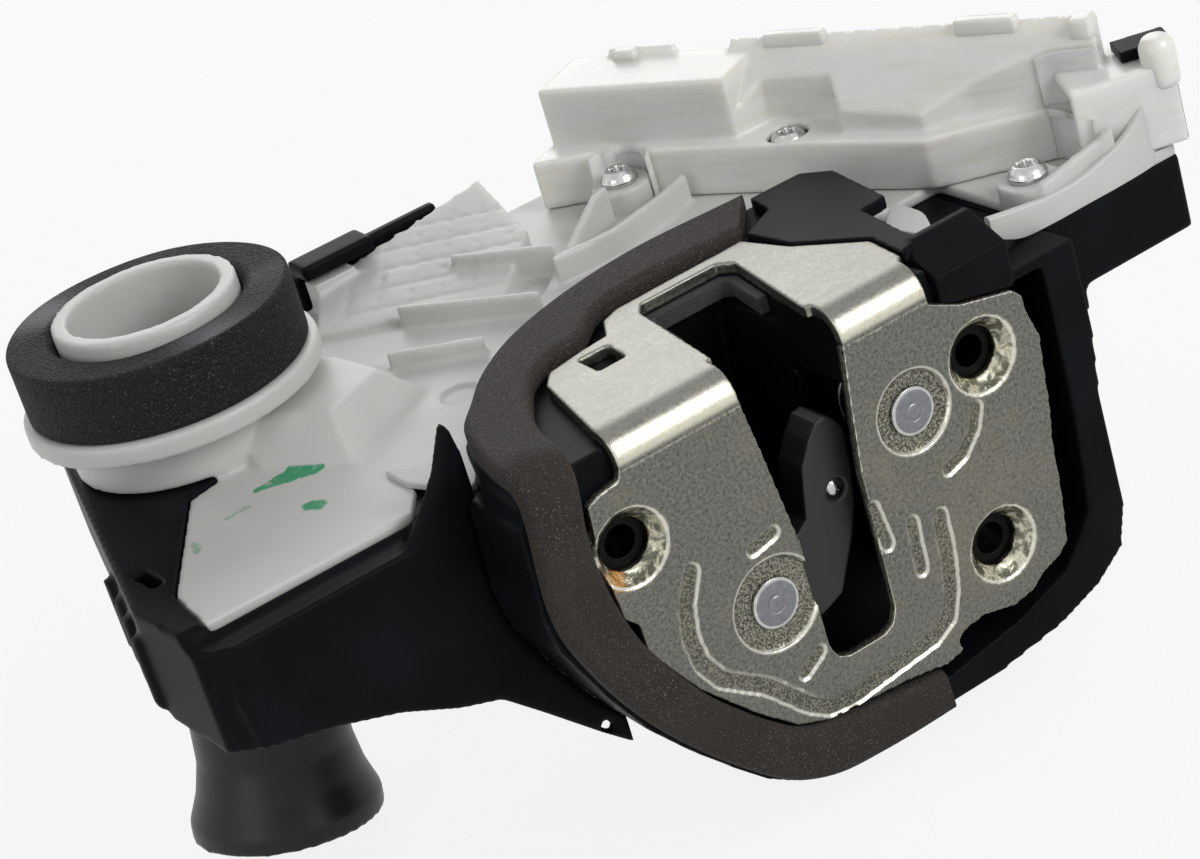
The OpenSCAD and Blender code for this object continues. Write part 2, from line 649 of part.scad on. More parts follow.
// Latch foam: the sealing strip around the latch body's left and top
module latch_foam() {
    color("dimgray") difference() {
        union() {
            face(foam_front, plate_t - foam_t, plate_t);
            slab(foam_deck, deck_z, foam_top_z);
            translate([-79.3, foam_bend_r + plate_t - foam_t, foam_top_z - foam_bend_r]) rotate([0, 90, 0])
                cylinder(h = 9.8, r = foam_bend_r);
        }
        translate([-90, plate_t, -60]) cube([60, 60, 60 + deck_z]);
        translate([foam_slit[0], foam_slit[1], deck_z - 1]) rotate([0, 0, 30]) cube([0.6, 5, 9]);
    }
}

// Top cap: the black cap beside the flange, with its sloped block
module top_cap() {
    color("dimgray") {
        slab(cap_outline, deck_z, deck_z + cap_t);
        difference() {
            face([[-4.6, 10.6], [8.6, 7.6], [9.2, 9], [9.2, 19], [-2, 19], [-4.6, 17]], 0.4, 9.5);
            translate([-12, -3, 13.6]) rotate([26, 0, 0]) cube([30, 30, 20]);
            body_mass();
            face(plate_outline, -1, plate_t);
            slab(flange_outline, fold_z - 2, flange_z + 3);
        }
    }
}

// Outside lever: the grey lever whose tail leaves the body at the foot
module outside_lever() {
    color("lightgray") on_pivot(outside_at) difference() {
        union() {
            face([[-4.5, 4.5], [4.5, 4.5], [5.5, -2], [3.6, -14], [2, -26], [1, -34], [1.3, -41], [-1, -46.6],
                  [-4.6, -45.6], [-5.4, -40], [-4, -33], [-3.4, -24], [-5, -12], [-12, -9], [-15.5, -10.6],
                  [-17, -7.4], [-12, -3.4], [-6, 0]], lever_y, lever_y + lever_t);
            bar([0, 0], 5.6, lever_y, lever_y + lever_t + 1);
        }
        bar([0, 0], outside_pin_r + run_gap, 0, 40);
        bar([-1.8, -42.5], 1.3, 0, 40);
    }
}

module outside_lever_pin() {
    color("silver") {
        bar(outside_at, outside_pin_r, frame_back + 0.5, lever_y + lever_t + 1.4);
        bar(outside_at, 4.4, lever_y + lever_t + 1.3, lever_y + lever_t + 2.4);
    }
}

// Plan of the case base inside its walls
module case_room() {
    offset(delta = -wall) polygon(case_outline);
}

// Case base: the black tray with its front web, fin, ledge and posts
module case_base() {
    color("dimgray") difference() {
        union() {
            difference() {
                slab(case_outline, base_z, seam_z);
                difference() {
                    translate([0, 0, floor_z]) linear_extrude(20) case_room();
                    translate([26, 0, base_z]) cube([60, 60, 4 + floor_t]);
                }
                translate([26 + wall, 0, base_z - 1]) cube([60, 62, 5]);
            }
            // Ledge around the access tube
            difference() {
                slab(case_outline, seam_z - wall, rim_z);
                slab(rim_line, cover_z - cover_t, rim_z + 1);
                slab([[-120, 35.5], [-105.6, 63], [-96, 65], [-96, 103], [-60, 103], [-14, 102], [5, 99],
                      [51, 17], [49, 11], [24, 11], [24, 38], [-82, 38], [-119, 27]], 0, seam_z + 1);
                translate([-60, 0, seam_z]) cube([200, 200, 9]);
                translate([-130, 14, seam_z + 0.4]) rotate([-38, 0, 0])
                    translate([0, -9, 0]) cube([60, 15, 9]);
            }
            // Front web down to the latch body
            difference() {
                face(front_web, web_y, web_y + web_t);
                face([[-71, -30.8], [-70.8, -34], [-67.6, -36.4]], web_y - 1, web_y + web_t + 1);
                body_mass();
            }
            face([[-121, base_z + 1], [-121, seam_z], [-90, seam_z], [-90, base_z + 1]], web_y, web_y + 5);
            // Fin beside the foam
            difference() {
                slab(
                    [[-90, 18.4], [-81.2, 18.4], [-81.2, 30], [-82.6, 28.6], [-86.6, 22]],
                    seam_z - 1, seam_z + 6);
                translate([-91, 10, seam_z + 0.4]) rotate([0, -26, 0]) cube([40, 30, 20]);
            }
            for (s = screws) post([s[0], s[1]], post_r, s[0] > 20 ? base_z + 5 : base_z + 1, seam_z);
            post(lever_at, 6, floor_z - 1, lock_z0 - move_gap);
            post(wheel_at, 4, floor_z - 1, pinion_z0 - move_gap);
            // Motor cradle
            along_cover() for (s = [motor_s + 2, motor_s + motor_len - 4])
                translate([s, -motor_w - 5, floor_z - 1]) cube([2, 10, motor_z - floor_z + 1]);
            // Bar and teeth behind the cover
            translate([-61, 104.2, seam_z - 2]) cube([29, 3.4, 2]);
            translate([-61, 105.3, seam_z - 1.5]) cube([29, 2.3, 10.5]);
            translate([-61, 100.5, 17.4]) cube([14, 6.5, 2.6]);
            for (k = [0 : 3]) translate([-127.6 + k * 1.73, 38 + k * 7, base_z + 2]) cube([4, 2.4, 12]);
        }
        along_cover() translate([0, -motor_w, motor_z]) rotate([0, 90, 0])
            translate([0, 0, -2]) cylinder(h = motor_len + 3, r = motor_r + 0.02);
        post(tube_at, tube_r + 0.3, seam_z - 3, rim_z + 5);
        post(tube_at, 9.2, base_z - 1, floor_z + 1);
        for (s = screws) post([s[0], s[1]], screw_r + 0.02, s[2] - screw_len - 0.4, seam_z + 1);
        post(lever_at, lever_shaft_r + 0.02, base_z + 1, seam_z);
        post(wheel_at, wheel_pin_r + 0.02, base_z + 1, seam_z);
        // Slot through the ledge
        translate([-121.5, 40, base_z - 1]) rotate([0, 0, 4]) cube([2, 7, 30]);
    }
}

// Frame of the key funnel, tilted below the case
module on_funnel() {
    translate([tube_at[0], tube_at[1], base_z]) rotate([-funnel_tilt_y, funnel_tilt_x, 0]) children();
}

// Key funnel: the black guide for the key rod below the case
module key_funnel() {
    neck = funnel_neck_r + funnel_wall;
    mouth = funnel_mouth_r + funnel_wall;
    color("dimgray") difference() {
        union() {
            on_funnel() rotate_extrude() polygon([
                [funnel_neck_r, 4], [neck, 4], [neck, -funnel_len + 13], [neck + 1.2, -funnel_len + 7.5],
                [mouth, -funnel_len + 3], [mouth, -funnel_len], [funnel_mouth_r, -funnel_len],
                [funnel_mouth_r - 0.4, -funnel_len + 2], [funnel_neck_r, -funnel_len + 13],
                [funnel_neck_r, -12.4], [9.6, -12.4], [9.6, -10.6], [funnel_neck_r, -10.6]]);
            difference() {
                post(tube_at, neck + 3.5, base_z - 3, base_z + 1);
                on_funnel() translate([0, 0, -20]) cylinder(h = 40, r = funnel_neck_r + 0.7);
            }
        }
        post(tube_at, 60, base_z, base_z + 20);
    }
}

// Key rotor: the cross-slotted receiver at the funnel's head
module key_rotor() {
    color("lightgray") on_funnel() difference() {
        union() {
            translate([0, 0, -9.6]) cylinder(h = 5.2, r = funnel_neck_r - run_gap);
            translate([0, 0, -5]) cylinder(h = 12, r = 6);
        }
        for (a = [0, 90]) rotate([0, 0, a]) translate([-4.4, -1.3, -10.5]) cube([8.8, 2.6, 7]);
        translate([0, 0, 3]) cylinder(h = 10, r = 4, $fn = 6);
    }
}

// Case cover: the white plate with its access tube, flange, mound, ramp, ribs and bosses
module case_cover() {
    mound = [[-65, 62], [-64, 56], [-70, 52], [-84, 45], [-93.6, 58], [-93.6, 76], [-74, 81], [-66, 72]];
    mound_top = 17.4;
    ramp = [[-66, 91], [-41, 71], [-27.5, 83], [-24, 103.5], [-58, 103.5]];
    color("white") difference() {
        union() {
            translate([0, 0, seam_z]) linear_extrude(cover_t) offset(delta = -rim_gap) polygon(rim_line);
            // Mound beside the tube
            difference() {
                slab(mound, cover_z - 0.5, mound_top);
                lean_cut([-64, 56], [-65, 62], cover_z, 42);
                lean_cut([-70, 52], [-64, 56], cover_z, 42);
                lean_cut([-84, 45], [-70, 52], cover_z, 42);
                lean_cut([-93.6, 58], [-84, 45], cover_z, 42);
                lean_cut([-65, 62], [-66, 72], cover_z, 42);
                lean_cut([-66, 72], [-74, 81], cover_z, 42);
            }
            // Embossed ramp
            difference() {
                slab(ramp, cover_z - 0.5, 20);
                translate([-66, 91, cover_z + 1.2]) rotate([0, 0, -38.7]) rotate([11, 0, 0]) {
                    translate([-30, -30, 0]) cube([90, 90, 20]);
                    for (k = [0 : 5]) translate([4 + k * 5.5, 3, -0.5]) cube([0.8, 26, 2]);
                    for (k = [0 : 4]) translate([3, 4 + k * 5.5, -0.5]) cube([34, 0.8, 2]);
                }
            }
            // Ribs and walls on the plate
            for (r = [[[-55, 81], [-39, 61], 4], [[-64, 69], [-52, 58], 3], [[-41, 86], [-29, 71], 5.5]])
                wall_run(r[0], r[1], 1.2, cover_z - 0.5, cover_z + r[2]);
            for (r = [[[-1.3, 73.65], [-8, 70.6]], [[-8, 70.6], [-20, 67]], [[-20, 67], [-32, 67.6]]])
                wall_run(r[0], r[1], 1.4, cover_z - 0.5, cover_z + 5);
            translate([-60, 100, cover_z - 0.5]) cube([8, 4.2, 6]);
            // Standing fin
            difference() {
                wall_run([-36, 66.5], [-14.5, 77], 1.4, cover_z - 0.5, cover_z + 8);
                translate([-36, 66.5, cover_z]) rotate([0, 0, 26]) rotate([0, -22, 0])
                    translate([-5, -4, 0]) cube([40, 8, 20]);
            }
            for (s = [screws[0], screws[2]]) post([s[0], s[1]], boss_r, cover_z - 0.5, s[2]);
            // Front right wall, rising to the connector end
            difference() {
                union() {
                    wall_run([24, 10.4], [36, 11.2], 1.6, cover_z - 0.5, 25);
                    wall_run([36, 11.2], [39.4, 10.2], 1.6, cover_z - 0.5, 25);
                }
                translate([22, 0, cover_z + 4.2]) rotate([0, -8, 0]) cube([14.6, 20, 20]);
                translate([36, 0, cover_z + 5.8]) rotate([0, -32, 0]) cube([30, 20, 20]);
            }
            // Posts under the contact board
            for (p = board_posts) post(along(p[0], p[1]), 1.6, cover_z - 0.5, board_z);
            // Access tube with its flange
            post(tube_at, tube_r, seam_z - 1, tube_z);
            post(tube_at, tube_r + 4, cover_z + 0.8, ring_flange_z - 3);
            post(tube_at, ring_flange_r, ring_flange_z - 3.5, ring_flange_z);
        }
        post(tube_at, tube_r - tube_wall, seam_z - 5, tube_z + 1);
        // Wider foot of the tube's bore
        post(tube_at, tube_r - tube_wall + 1, seam_z - 5, rim_z + 0.7);
        // Room for the motor
        along_cover() translate([motor_s - 1, -motor_w - 6.45, seam_z - 1])
            cube([motor_len + 2, 12.9, cover_t + 2]);
        for (s = screws) post([s[0], s[1]], screw_r + 0.02, seam_z - 1, s[2] + 1);
        // Oval recess
        translate([-62, 50, cover_z - 0.6]) cylinder(h = 2, r = 3.4);
    }
}

// Straight wall between two points of the plan
module wall_run(p, q, t, z0, z1) {
    translate([p[0], p[1], z0]) rotate([0, 0, atan2(q[1] - p[1], q[0] - p[0])])
        translate([0, -t / 2, 0]) cube([norm(q - p), t, z1 - z0]);
}

// Ring foam: the open-cell ring around the access tube
module ring_foam() {
    color("black") translate([tube_at[0], tube_at[1], ring_z0]) difference() {
        cylinder(h = ring_t, r = ring_r);
        translate([0, 0, -1]) cylinder(h = ring_t + 2, r = tube_r + 0.1);
        translate([0, 0, ring_t - 1.2]) cylinder(h = 3, r = tube_r + 1.4);
    }
}

// Room above the tub's roof, which slopes down to the front, or a depth below it
module roof_room(deeper) {
    along_cover() translate([0, -2.9, tub_z + roof_rise - deeper]) rotate([roof_lean, 0, 0])
        translate([-20, -60, 0]) cube([140, 80, 40]);
}

module cover_slab(plan, inset, z0, z1) {
    along_cover() translate([0, 0, z0]) linear_extrude(z1 - z0) offset(delta = -inset) polygon(plan);
}

// Gear cover: the translucent housing over the motor, contact board and connector
module gear_cover() {
    low = cover_z - 1;
    middle = [screws[1][0], screws[1][1]];
    color("whitesmoke") difference() {
        union() {
            difference() {
                union() {
                    cover_slab(skirt_plan, 0, cover_z, ledge_z);
                    difference() {
                        cover_slab(tub_plan, 0, ledge_z - 1, tub_z + roof_rise);
                        roof_room(0);
                    }
                    cover_slab(motor_plan, 0, ledge_z - 1, motor_top_z);
                    on_plug() translate([-5, -7.4, cover_z + 0.4]) cube([17, 14.8, 13.6]);
                }
                cover_slab(skirt_plan, gear_wall, low, ledge_z - gear_wall);
                difference() {
                    cover_slab(tub_plan, gear_wall, low, tub_z + roof_rise);
                    roof_room(gear_wall * 1.25);
                }
                cover_slab(motor_plan, gear_wall, low, motor_top_z - gear_wall);
            }
            // Column under the middle screw
            post(middle, 3.4, cover_z + 0.1, ledge_z - gear_wall / 2);
            // Rib on the motor housing
            along_cover() translate([2, -3.6, motor_top_z - 0.5]) cube([13, 1.4, 1.9]);
        }
        // Mouth for the connector
        on_plug() translate([-7, -5.95, low]) cube([22, 11.9, 13.5]);
        // Niche beside the first boss
        post([screws[0][0], screws[0][1]], boss_r + 0.15, low, ledge_z + 1);
        post(middle, screw_head_r + 0.4, screws[1][2], ledge_z + 9);
        post(middle, screw_r + 0.05, low, ledge_z + 1);
    }
}

// Motor: the can with its bearing bosses and two terminals
module motor() {
    color("silver") along_cover() {
        translate([motor_s, -motor_w, motor_z]) rotate([0, 90, 0]) {
            difference() {
                union() {
                    cylinder(h = motor_len, r = motor_r);
                    translate([0, 0, motor_len - 0.5]) cylinder(h = 2, r = 3);
                }
                translate([0, 0, 6]) cylinder(h = motor_len, r = shaft_r + run_gap);
            }
        }
        for (w = [-3.4, 1.8])
            translate([motor_s + 1.2, -motor_w + w, motor_z + motor_r - 2.2]) cube([0.6, 1.6, 5.6]);
    }
}

// Worm shaft: the motor's shaft with its worm
module worm_shaft() {
    color("gold") along_cover() translate([motor_s, -motor_w, motor_z]) rotate([0, 90, 0]) {
        worm_z = worm_s - motor_s;
        translate([0, 0, 6.4]) cylinder(h = worm_z + 1.2, r = shaft_r);
        translate([0, 0, worm_z - 3]) cylinder(h = worm_len - 2, r = worm_r - 1.1);
        for (k = [0 : 3]) translate([0, 0, worm_z - 2.4 + k * 1.9])
            cylinder(h = 0.9, r1 = worm_r, r2 = worm_r - 0.3);
    }
}

// Worm wheel: the large wheel and the pinion below it
module worm_wheel() {
    color("ivory") translate([wheel_at[0], wheel_at[1], 0]) difference() {
        union() {
            translate([0, 0, wheel_z0]) linear_extrude(wheel_z1 - wheel_z0)
                polygon(tooth_points(wheel_teeth, gear_m, 0, wheel_teeth));
            translate([0, 0, pinion_z0]) linear_extrude(wheel_z0 - pinion_z0 + 0.5)
                rotate(pinion_phase) polygon(tooth_points(pinion_teeth, gear_m, 0, pinion_teeth));
        }
        translate([0, 0, -20]) cylinder(h = 40, r = wheel_pin_r + run_gap);
        for (k = [0 : 5]) rotate([0, 0, k * 60]) translate([7.6, 0, wheel_z1 - 1.6]) cylinder(h = 3, r = 1.8);
    }
}

module wheel_pin() {
    color("silver") post(wheel_at, wheel_pin_r, base_z + 1, seam_z);
}

// Lock lever: the geared sector and its arm
module lock_lever() {
    pitch = 360 / sector_teeth;
    n0 = -1;
    n1 = ceil(lock_travel / pitch) + 2;
    color("lightgray") translate([lever_at[0], lever_at[1], 0]) difference() {
        union() {
            translate([0, 0, lock_z0]) linear_extrude(lock_z1 - lock_z0 - 1.2) rotate(lever_turn)
                polygon(concat([[0, 0]], tooth_points(sector_teeth, gear_m, n0, n1)));
            translate([0, 0, lock_z0]) cylinder(h = inside_z0 - lock_z0 - move_gap, r = 6.5);
            translate([0, 0, lock_z0]) linear_extrude(3) polygon([
                [-3, 6], [3, 6], [6, 2], [2, -6.2], [-10, -9], [-34, -7], [-37, -3.4], [-34, 0.6], [-12, 1]]);
            translate([-33.4, -3.2, lock_z0]) cylinder(h = 6.4, r = 2);
        }
        translate([0, 0, -20]) cylinder(h = 40, r = lever_shaft_r + run_gap);
    }
}

// Inside lever: the lever drawn by the inside handle's cable
module inside_lever() {
    low = body_depth + wall + 1.4 - lever_at[1];
    color("lightgray") translate([lever_at[0], lever_at[1], 0]) difference() {
        union() {
            translate([0, 0, inside_z0]) cylinder(h = seam_z - inside_z0 - 0.4, r = 5.4);
            translate([0, 0, inside_z0]) linear_extrude(inside_z1 - inside_z0 - 0.4) polygon([
                [4, 3.6], [5.4, -1], [0, -5.4], [-8, low + 7.6], [-22, low + 2], [-29, low], [-32, low + 1.4],
                [-31.4, low + 5], [-24, low + 6.6], [-11, -4], [-5.4, 2], [-2, 5]]);
        }
        translate([0, 0, -20]) cylinder(h = 40, r = lever_shaft_r + run_gap);
        translate([-28.8, low + 2.8, -20]) cylinder(h = 40, r = 1.3);
    }
}

module lever_shaft() {
    color("silver") post(lever_at, lever_shaft_r, base_z + 1, seam_z);
}

// Inside lever spring: a coil around the lever's hub with two legs
module inside_lever_spring() {
    z0 = seam_z - 2.1;
    color("gray") translate([lever_at[0], lever_at[1], 0]) {
        difference() {
            translate([0, 0, z0]) cylinder(h = 2, r = 7.1);
            translate([0, 0, z0 - 1]) cylinder(h = 4, r = 6.0);
        }
        for (leg = [[60, 0.5], [150, 1.5]])
            rotate([0, 0, leg[0]]) translate([6.5, 0, z0 + leg[1]]) rotate([-90, 0, -9])
                cylinder(h = 10, r = 0.42, $fn = 16);
    }
}

// Contact board: the carrier for switches and contacts under the gear cover
module contact_board() {
    color("darkgreen") difference() {
        along_cover() translate([0, 0, board_z]) linear_extrude(1.6) polygon([
            [-3, -5], [88.3, -5], [91, -11.5], [86, -6.6], [84, -6.2], [74, -10], [66, -13.6], [50, -12.6],
            [46, -9.4], [34, -9.4],
            [29, -13.4], [14, -14], [12.6, -12], [5.4, -12], [4, -14], [-3, -14]]);
        along_cover() for (w = [-3.4, 1.8])
            translate([motor_s + 1.18, -motor_w + w - 0.02, board_z - 1]) cube([0.64, 1.64, 4]);
    }
}

// Switches: two small black switch blocks on the board
module switches() {
    color("black") along_cover() for (s = [[64, -8.6], [54, -12]]) {
        translate([s[0], s[1], board_z + 1.6]) cube([9, 3.6, 5]);
        translate([s[0] + 1.5, s[1] + 1, board_z + 6.5]) cube([1.6, 1.6, 0.8]);
    }
}

// Places a shape in the connector's own frame, X out of its mouth
module on_plug() {
    translate([plug_at[0], plug_at[1], 0]) rotate([0, 0, plug_turn]) children();
}

// Connector shell: the black plug housing at the right end, with its latch
module connector_shell() {
    z0 = cover_z + 0.2;
    color("black") on_plug() difference() {
        union() {
            translate([0.4, -5.8, z0]) cube([12, 11.6, 12.2]);
            translate([12.1, -2.5, z0 + 10.6]) cube([1.5, 6, 5.2]);
            translate([5, -2.5, z0 + 14]) cube([8.6, 6, 1.8]);
        }
        translate([2, -4.6, z0 + 1.4]) cube([20, 9.2, 9.4]);
        for (y = pin_rows, z = [board_z + 1.6, board_z + 4.2])
            translate([-1, y - 0.31, z - 0.01]) cube([4, 0.62, 0.62]);
    }
}

// Connector pins: six contacts that end on the board
module connector_pins() {
    z0 = board_z + 1.6;
    color("gold") on_plug() for (y = pin_rows) {
        translate([-2.4, y - 0.3, z0]) cube([9.6, 0.6, 0.6]);
        translate([-1.4, y - 0.3, z0 + 2.6]) cube([8.6, 0.6, 0.6]);
        translate([-1.4, y - 0.3, z0 + 0.9]) cube([0.6, 0.6, 2.3]);
    }
}

// Case screws: three button-head screws with a six-lobe socket
module case_screws() {
    color("silver") for (s = screws) translate([s[0], s[1], s[2]]) difference() {
        union() {
            translate([0, 0, -screw_len]) cylinder(h = screw_len + 0.5, r = screw_r);
            cylinder(h = 0.9, r = screw_head_r);
            intersection() {
                translate([0, 0, screw_head_h - screw_head_r - 0.2]) sphere(r = screw_head_r + 0.5);
                translate([0, 0, 0.5]) cylinder(h = screw_head_h - 0.5, r = screw_head_r - 0.3);
            }
        }
        for (k = [0 : 5])
            rotate([0, 0, k * 60]) translate([1, 0, screw_head_h - 1.6]) cylinder(h = 3, r = 0.42, $fn = 12);
        translate([0, 0, screw_head_h - 1.6]) cylinder(h = 3, r = 1.1);
    }
}

striker_plate();
screw_nuts();
mechanism_frame();
latch_body();
slot_pad();
slot_bumper();
fork_core();
fork_cover();
fork_rivet();
fork_spring();
pawl();
pawl_rivet();
pawl_spring();
pawl_lifter();
latch_foam();
top_cap();
outside_lever();
outside_lever_pin();
case_base();
key_funnel();
key_rotor();
case_cover();
ring_foam();
gear_cover();
motor();
worm_shaft();
worm_wheel();
wheel_pin();
lock_lever();
inside_lever();
lever_shaft();
inside_lever_spring();
contact_board();
switches();
connector_shell();
connector_pins();
case_screws();
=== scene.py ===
"""Door latch actuator: a side-door latch with its white and black case, dressed for a studio picture."""
import json
import math

import bmesh
import bpy
import numpy as np
from mathutils import Matrix, Vector


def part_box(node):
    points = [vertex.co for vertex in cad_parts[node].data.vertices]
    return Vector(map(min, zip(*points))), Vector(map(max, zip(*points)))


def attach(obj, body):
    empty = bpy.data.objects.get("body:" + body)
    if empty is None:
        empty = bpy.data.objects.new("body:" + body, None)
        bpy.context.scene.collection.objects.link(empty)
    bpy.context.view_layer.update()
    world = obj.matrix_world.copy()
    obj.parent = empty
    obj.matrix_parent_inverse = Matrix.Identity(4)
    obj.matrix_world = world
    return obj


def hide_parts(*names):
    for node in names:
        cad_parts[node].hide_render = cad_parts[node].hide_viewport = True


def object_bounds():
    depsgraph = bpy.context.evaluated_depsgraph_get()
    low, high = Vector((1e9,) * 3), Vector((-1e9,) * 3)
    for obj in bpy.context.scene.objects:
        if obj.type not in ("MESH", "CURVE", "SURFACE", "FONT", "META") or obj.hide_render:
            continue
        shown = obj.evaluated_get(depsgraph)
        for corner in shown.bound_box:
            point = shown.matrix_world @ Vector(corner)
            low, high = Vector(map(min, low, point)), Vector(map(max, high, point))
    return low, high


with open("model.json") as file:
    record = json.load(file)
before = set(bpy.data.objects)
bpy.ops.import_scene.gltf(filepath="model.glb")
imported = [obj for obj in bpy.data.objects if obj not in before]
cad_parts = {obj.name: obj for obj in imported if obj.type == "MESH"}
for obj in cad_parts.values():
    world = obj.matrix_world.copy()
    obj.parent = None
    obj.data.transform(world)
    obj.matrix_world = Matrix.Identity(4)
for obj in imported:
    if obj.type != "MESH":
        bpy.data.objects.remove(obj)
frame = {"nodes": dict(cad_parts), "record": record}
CAD_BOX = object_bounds()
NODES = frame["nodes"]
BODY = {node: body for body, nodes in frame["record"]["behaviour"]["bodies"].items() for node in nodes}
SLOT = {row["node"]: row["material_slot"] for row in frame["record"]["subparts"]}
# The screw nuts take the near-black dark steel, which paints the shade in the holes they sit deep in; the
# mechanism frame takes it too
SLOT["mechanism_frame"] = SLOT["screw_nuts"] = "dark_steel"
# Nodes with a finish of their own instead of their slot's
FINISH = {"key_funnel": "funnel_plastic", "fork_cover": "fork_plastic"}

bl_info = {
    "name": "Door latch actuator",
    "version": (1, 0, 0),
    "blender": (4, 5, 0),
    "location": "View3D > Sidebar > Latch",
    "description": "Builds the pieces, finishes and stage of a side-door latch actuator",
    "category": "Object",
}

MM = 0.001

# Places in millimetres: X and Z on the plate's face, X and Y on the case, and X, Y and Z of the screws' seats
HOLES = ((0.0, 0.0), (-4.4, -31.2), (-65.1, 1.0))
FORK_PIVOT = (-45.2, -19.5)
PAWL_PIVOT = (-14.1, -2.5)
STAIN_AT = (-68.6, -2.6)
TUBE_AT = (-94.8, 81.0)
LEVER_AT = (-28.37, 58.02)
SCREWS = ((-8.6, 82.5, 16.0), (12.45, 60.55, 17.8), (25.8, 15.2, 15.0))

# X, Z and radius of the plate's round recesses, and X and Y of the black mark on its flange
RECESSES = (FORK_PIVOT + (7.5,), PAWL_PIVOT + (6.6,))
MARK_AT = (-39.3, 35.6)

# Corner and turn of the gear cover's own run, and the motor's line in it as V and Z
COVER_CORNER = (6.0, 101.0)
COVER_TURN = math.radians(61)
MOTOR_LINE = (-10.2, 4.4)

# Strokes of green paint on the white cover: two ends, half width at each end, and strength
STROKES = (((-97.2, 53.4), (-88.6, 52.0), 0.6, 3.0, 0.95), ((-94.3, 40.2), (-93.9, 39.4), 1.5, 1.5, 0.95),
           ((-104.2, 49.6), (-100.7, 49.7), 0.5, 0.5, 0.4), ((-111.2, 47.4), (-112.0, 44.6), 0.5, 0.7, 0.5))

# The camera that was fitted to the photograph: place in metres, directions and lens
CAMERA_AT = (-0.2346, -0.3625, 0.2144)
CAMERA_RIGHT = (0.8103, -0.5224, -0.2656)
CAMERA_FORWARD = (0.3824, 0.8147, -0.436)
LENS_MM = 95.28
SENSOR_MM = 36.0

# Lamps: name, offset from the part's middle in metres, side, and share of the key light's power
LAMPS = (("key", (0.36, -0.76, 0.52), 0.4, 1.0), ("fill", (-0.85, -0.3, 0.35), 0.5, 0.3),
         ("back", (0.42, 0.85, 0.5), 0.7, 0.75))
FLOOR_HALF = 4.0

# Angle above which an edge of a bevelled copy is rounded and kept sharp, and the same for new meshes
BEVEL_ANGLE = math.radians(40)
SHARP_ANGLE = math.radians(38)

# Softened mouldings: node, cell in millimetres, rounds of smoothing, and share of the faces kept
MOULDINGS = (("latch_body", 0.5, 6, 0.3), ("top_cap", 0.3, 5, 0.6), ("case_base", 0.6, 6, 0.3),
             ("case_cover", 0.5, 5, 0.3), ("gear_cover", 0.4, 14, 0.45), ("key_funnel", 0.5, 6, 0.6),
             ("connector_shell", 0.3, 2, 0.5), ("fork_cover", 0.25, 3, 0.6))

# Shoulder beside the fin: lowest and highest X and Y, height kept, and Y below which the height rises again
SHOULDER = ((-90.0, 19.0), (-80.6, 32.0), 10.2, 22.4)

# Rivet heads: name, place and radius. Steel spot: radius and depth of its dome, and its place from the pivot
RIVET_HEADS = (("fork_rivet_head", FORK_PIVOT, 4.05), ("pawl_rivet_head", PAWL_PIVOT, 3.85))
STEEL_SPOT = ((0, 4.85), (0.7, 4.9), (1.15, 5.1), (1.5, 5.45), (1.7, 5.7), (1.7, 6.05), (0, 6.05))
SPOT_FROM_PIVOT = (17.4, 9.2)

# Rings of a case screw: radius, depth of the six lobes, and height above the seat
SCREW_LOBES = 6
SCREW_RINGS = (
    (0, 0, 0.8), (1.2, 0.16, 0.8), (1.32, 0.2, 1.0), (1.36, 0.22, 2.2), (1.44, 0.24, 2.34), (1.72, 0, 2.42),
    (1.95, 0, 2.44), (2.15, 0, 2.32), (2.3, 0, 2.2), (2.7, 0, 1.85), (3.0, 0, 1.35), (3.08, 0, 1.0),
    (3.2, 0, 0.9), (3.24, 0, 0.75), (3.24, 0, 0.2), (3.16, 0, 0.04), (3.0, 0, 0), (1.8, 0, 0),
    (1.8, 0, -13.6), (1.5, 0, -14), (0, 0, -14))

# White trim: stations of the front band as X, Y, low and high Z, and the plans of the tab and of the lip
FRONT_BAND = ((13.2, 9.6, 11.4, 14.9), (18, 9.2, 9.4, 14.3), (24, 9.0, 9.1, 13.6), (30.6, 9.0, 9.1, 13.6),
              (36.6, 9.0, 9.1, 14.8), (41.6, 9.0, 9.2, 16.6), (45.2, 9.3, 9.3, 19.4), (47.6, 10.4, 9.3, 22.4))
TAB = ((5.0, 27.0), (12.2, 34.0), (12.4, 25.6), (7.2, 15.6))
LIP = ((-82.9, 30.4), (-80.4, 24.2), (-77.6, 19.6), (-76.8, 19.8), (-69.6, 30.0), (-66.4, 36.6),
       (-82.9, 37.0))

# Trim of the gear cover in its own run: each pad's first and last S, first and last V, and top
PADS = ((3.6, 8.2, -5.4, -2.7, 32.6), (33, 44.6, -5.2, -3.1, 33.7), (68, 79, -5.4, -3.1, 33.9),
        (88.4, 92.2, -7.0, -3.2, 33.4))
PAD_FOOT = 24.0
KNOB = ((0, 21), (2.6, 21), (2.9, 22), (2.9, 27.6), (2.0, 29.2), (0, 29.4))
KNOB_AT = (101.6, -5.2)

# Closing panels beside the plug: stations as S, V, low and high Z, and the shelf's plan between them
LOWER_PANEL = ((82.8, -10.3, 11.2, 19.95), (84.6, -9.9, 11.2, 19.95), (88.6, -12.7, 11.2, 19.95),
               (93.1, -15.3, 11.2, 19.95))
UPPER_PANEL = ((82.6, -8.9, 19.5, 28.0), (84.4, -8.3, 19.5, 28.6), (88, -8.1, 19.5, 28.8),
               (92.4, -7.8, 19.5, 29.0))
SHELF = ((83.0, -8.2), (92.6, -7.8), (93.0, -15.2), (88.6, -12.5), (83.0, -10.2))

# Arc around the first case screw: radius, low and high Z, and first and last angle in degrees
NICHE = (6.0, 11.2, 19.9, -50, 110)

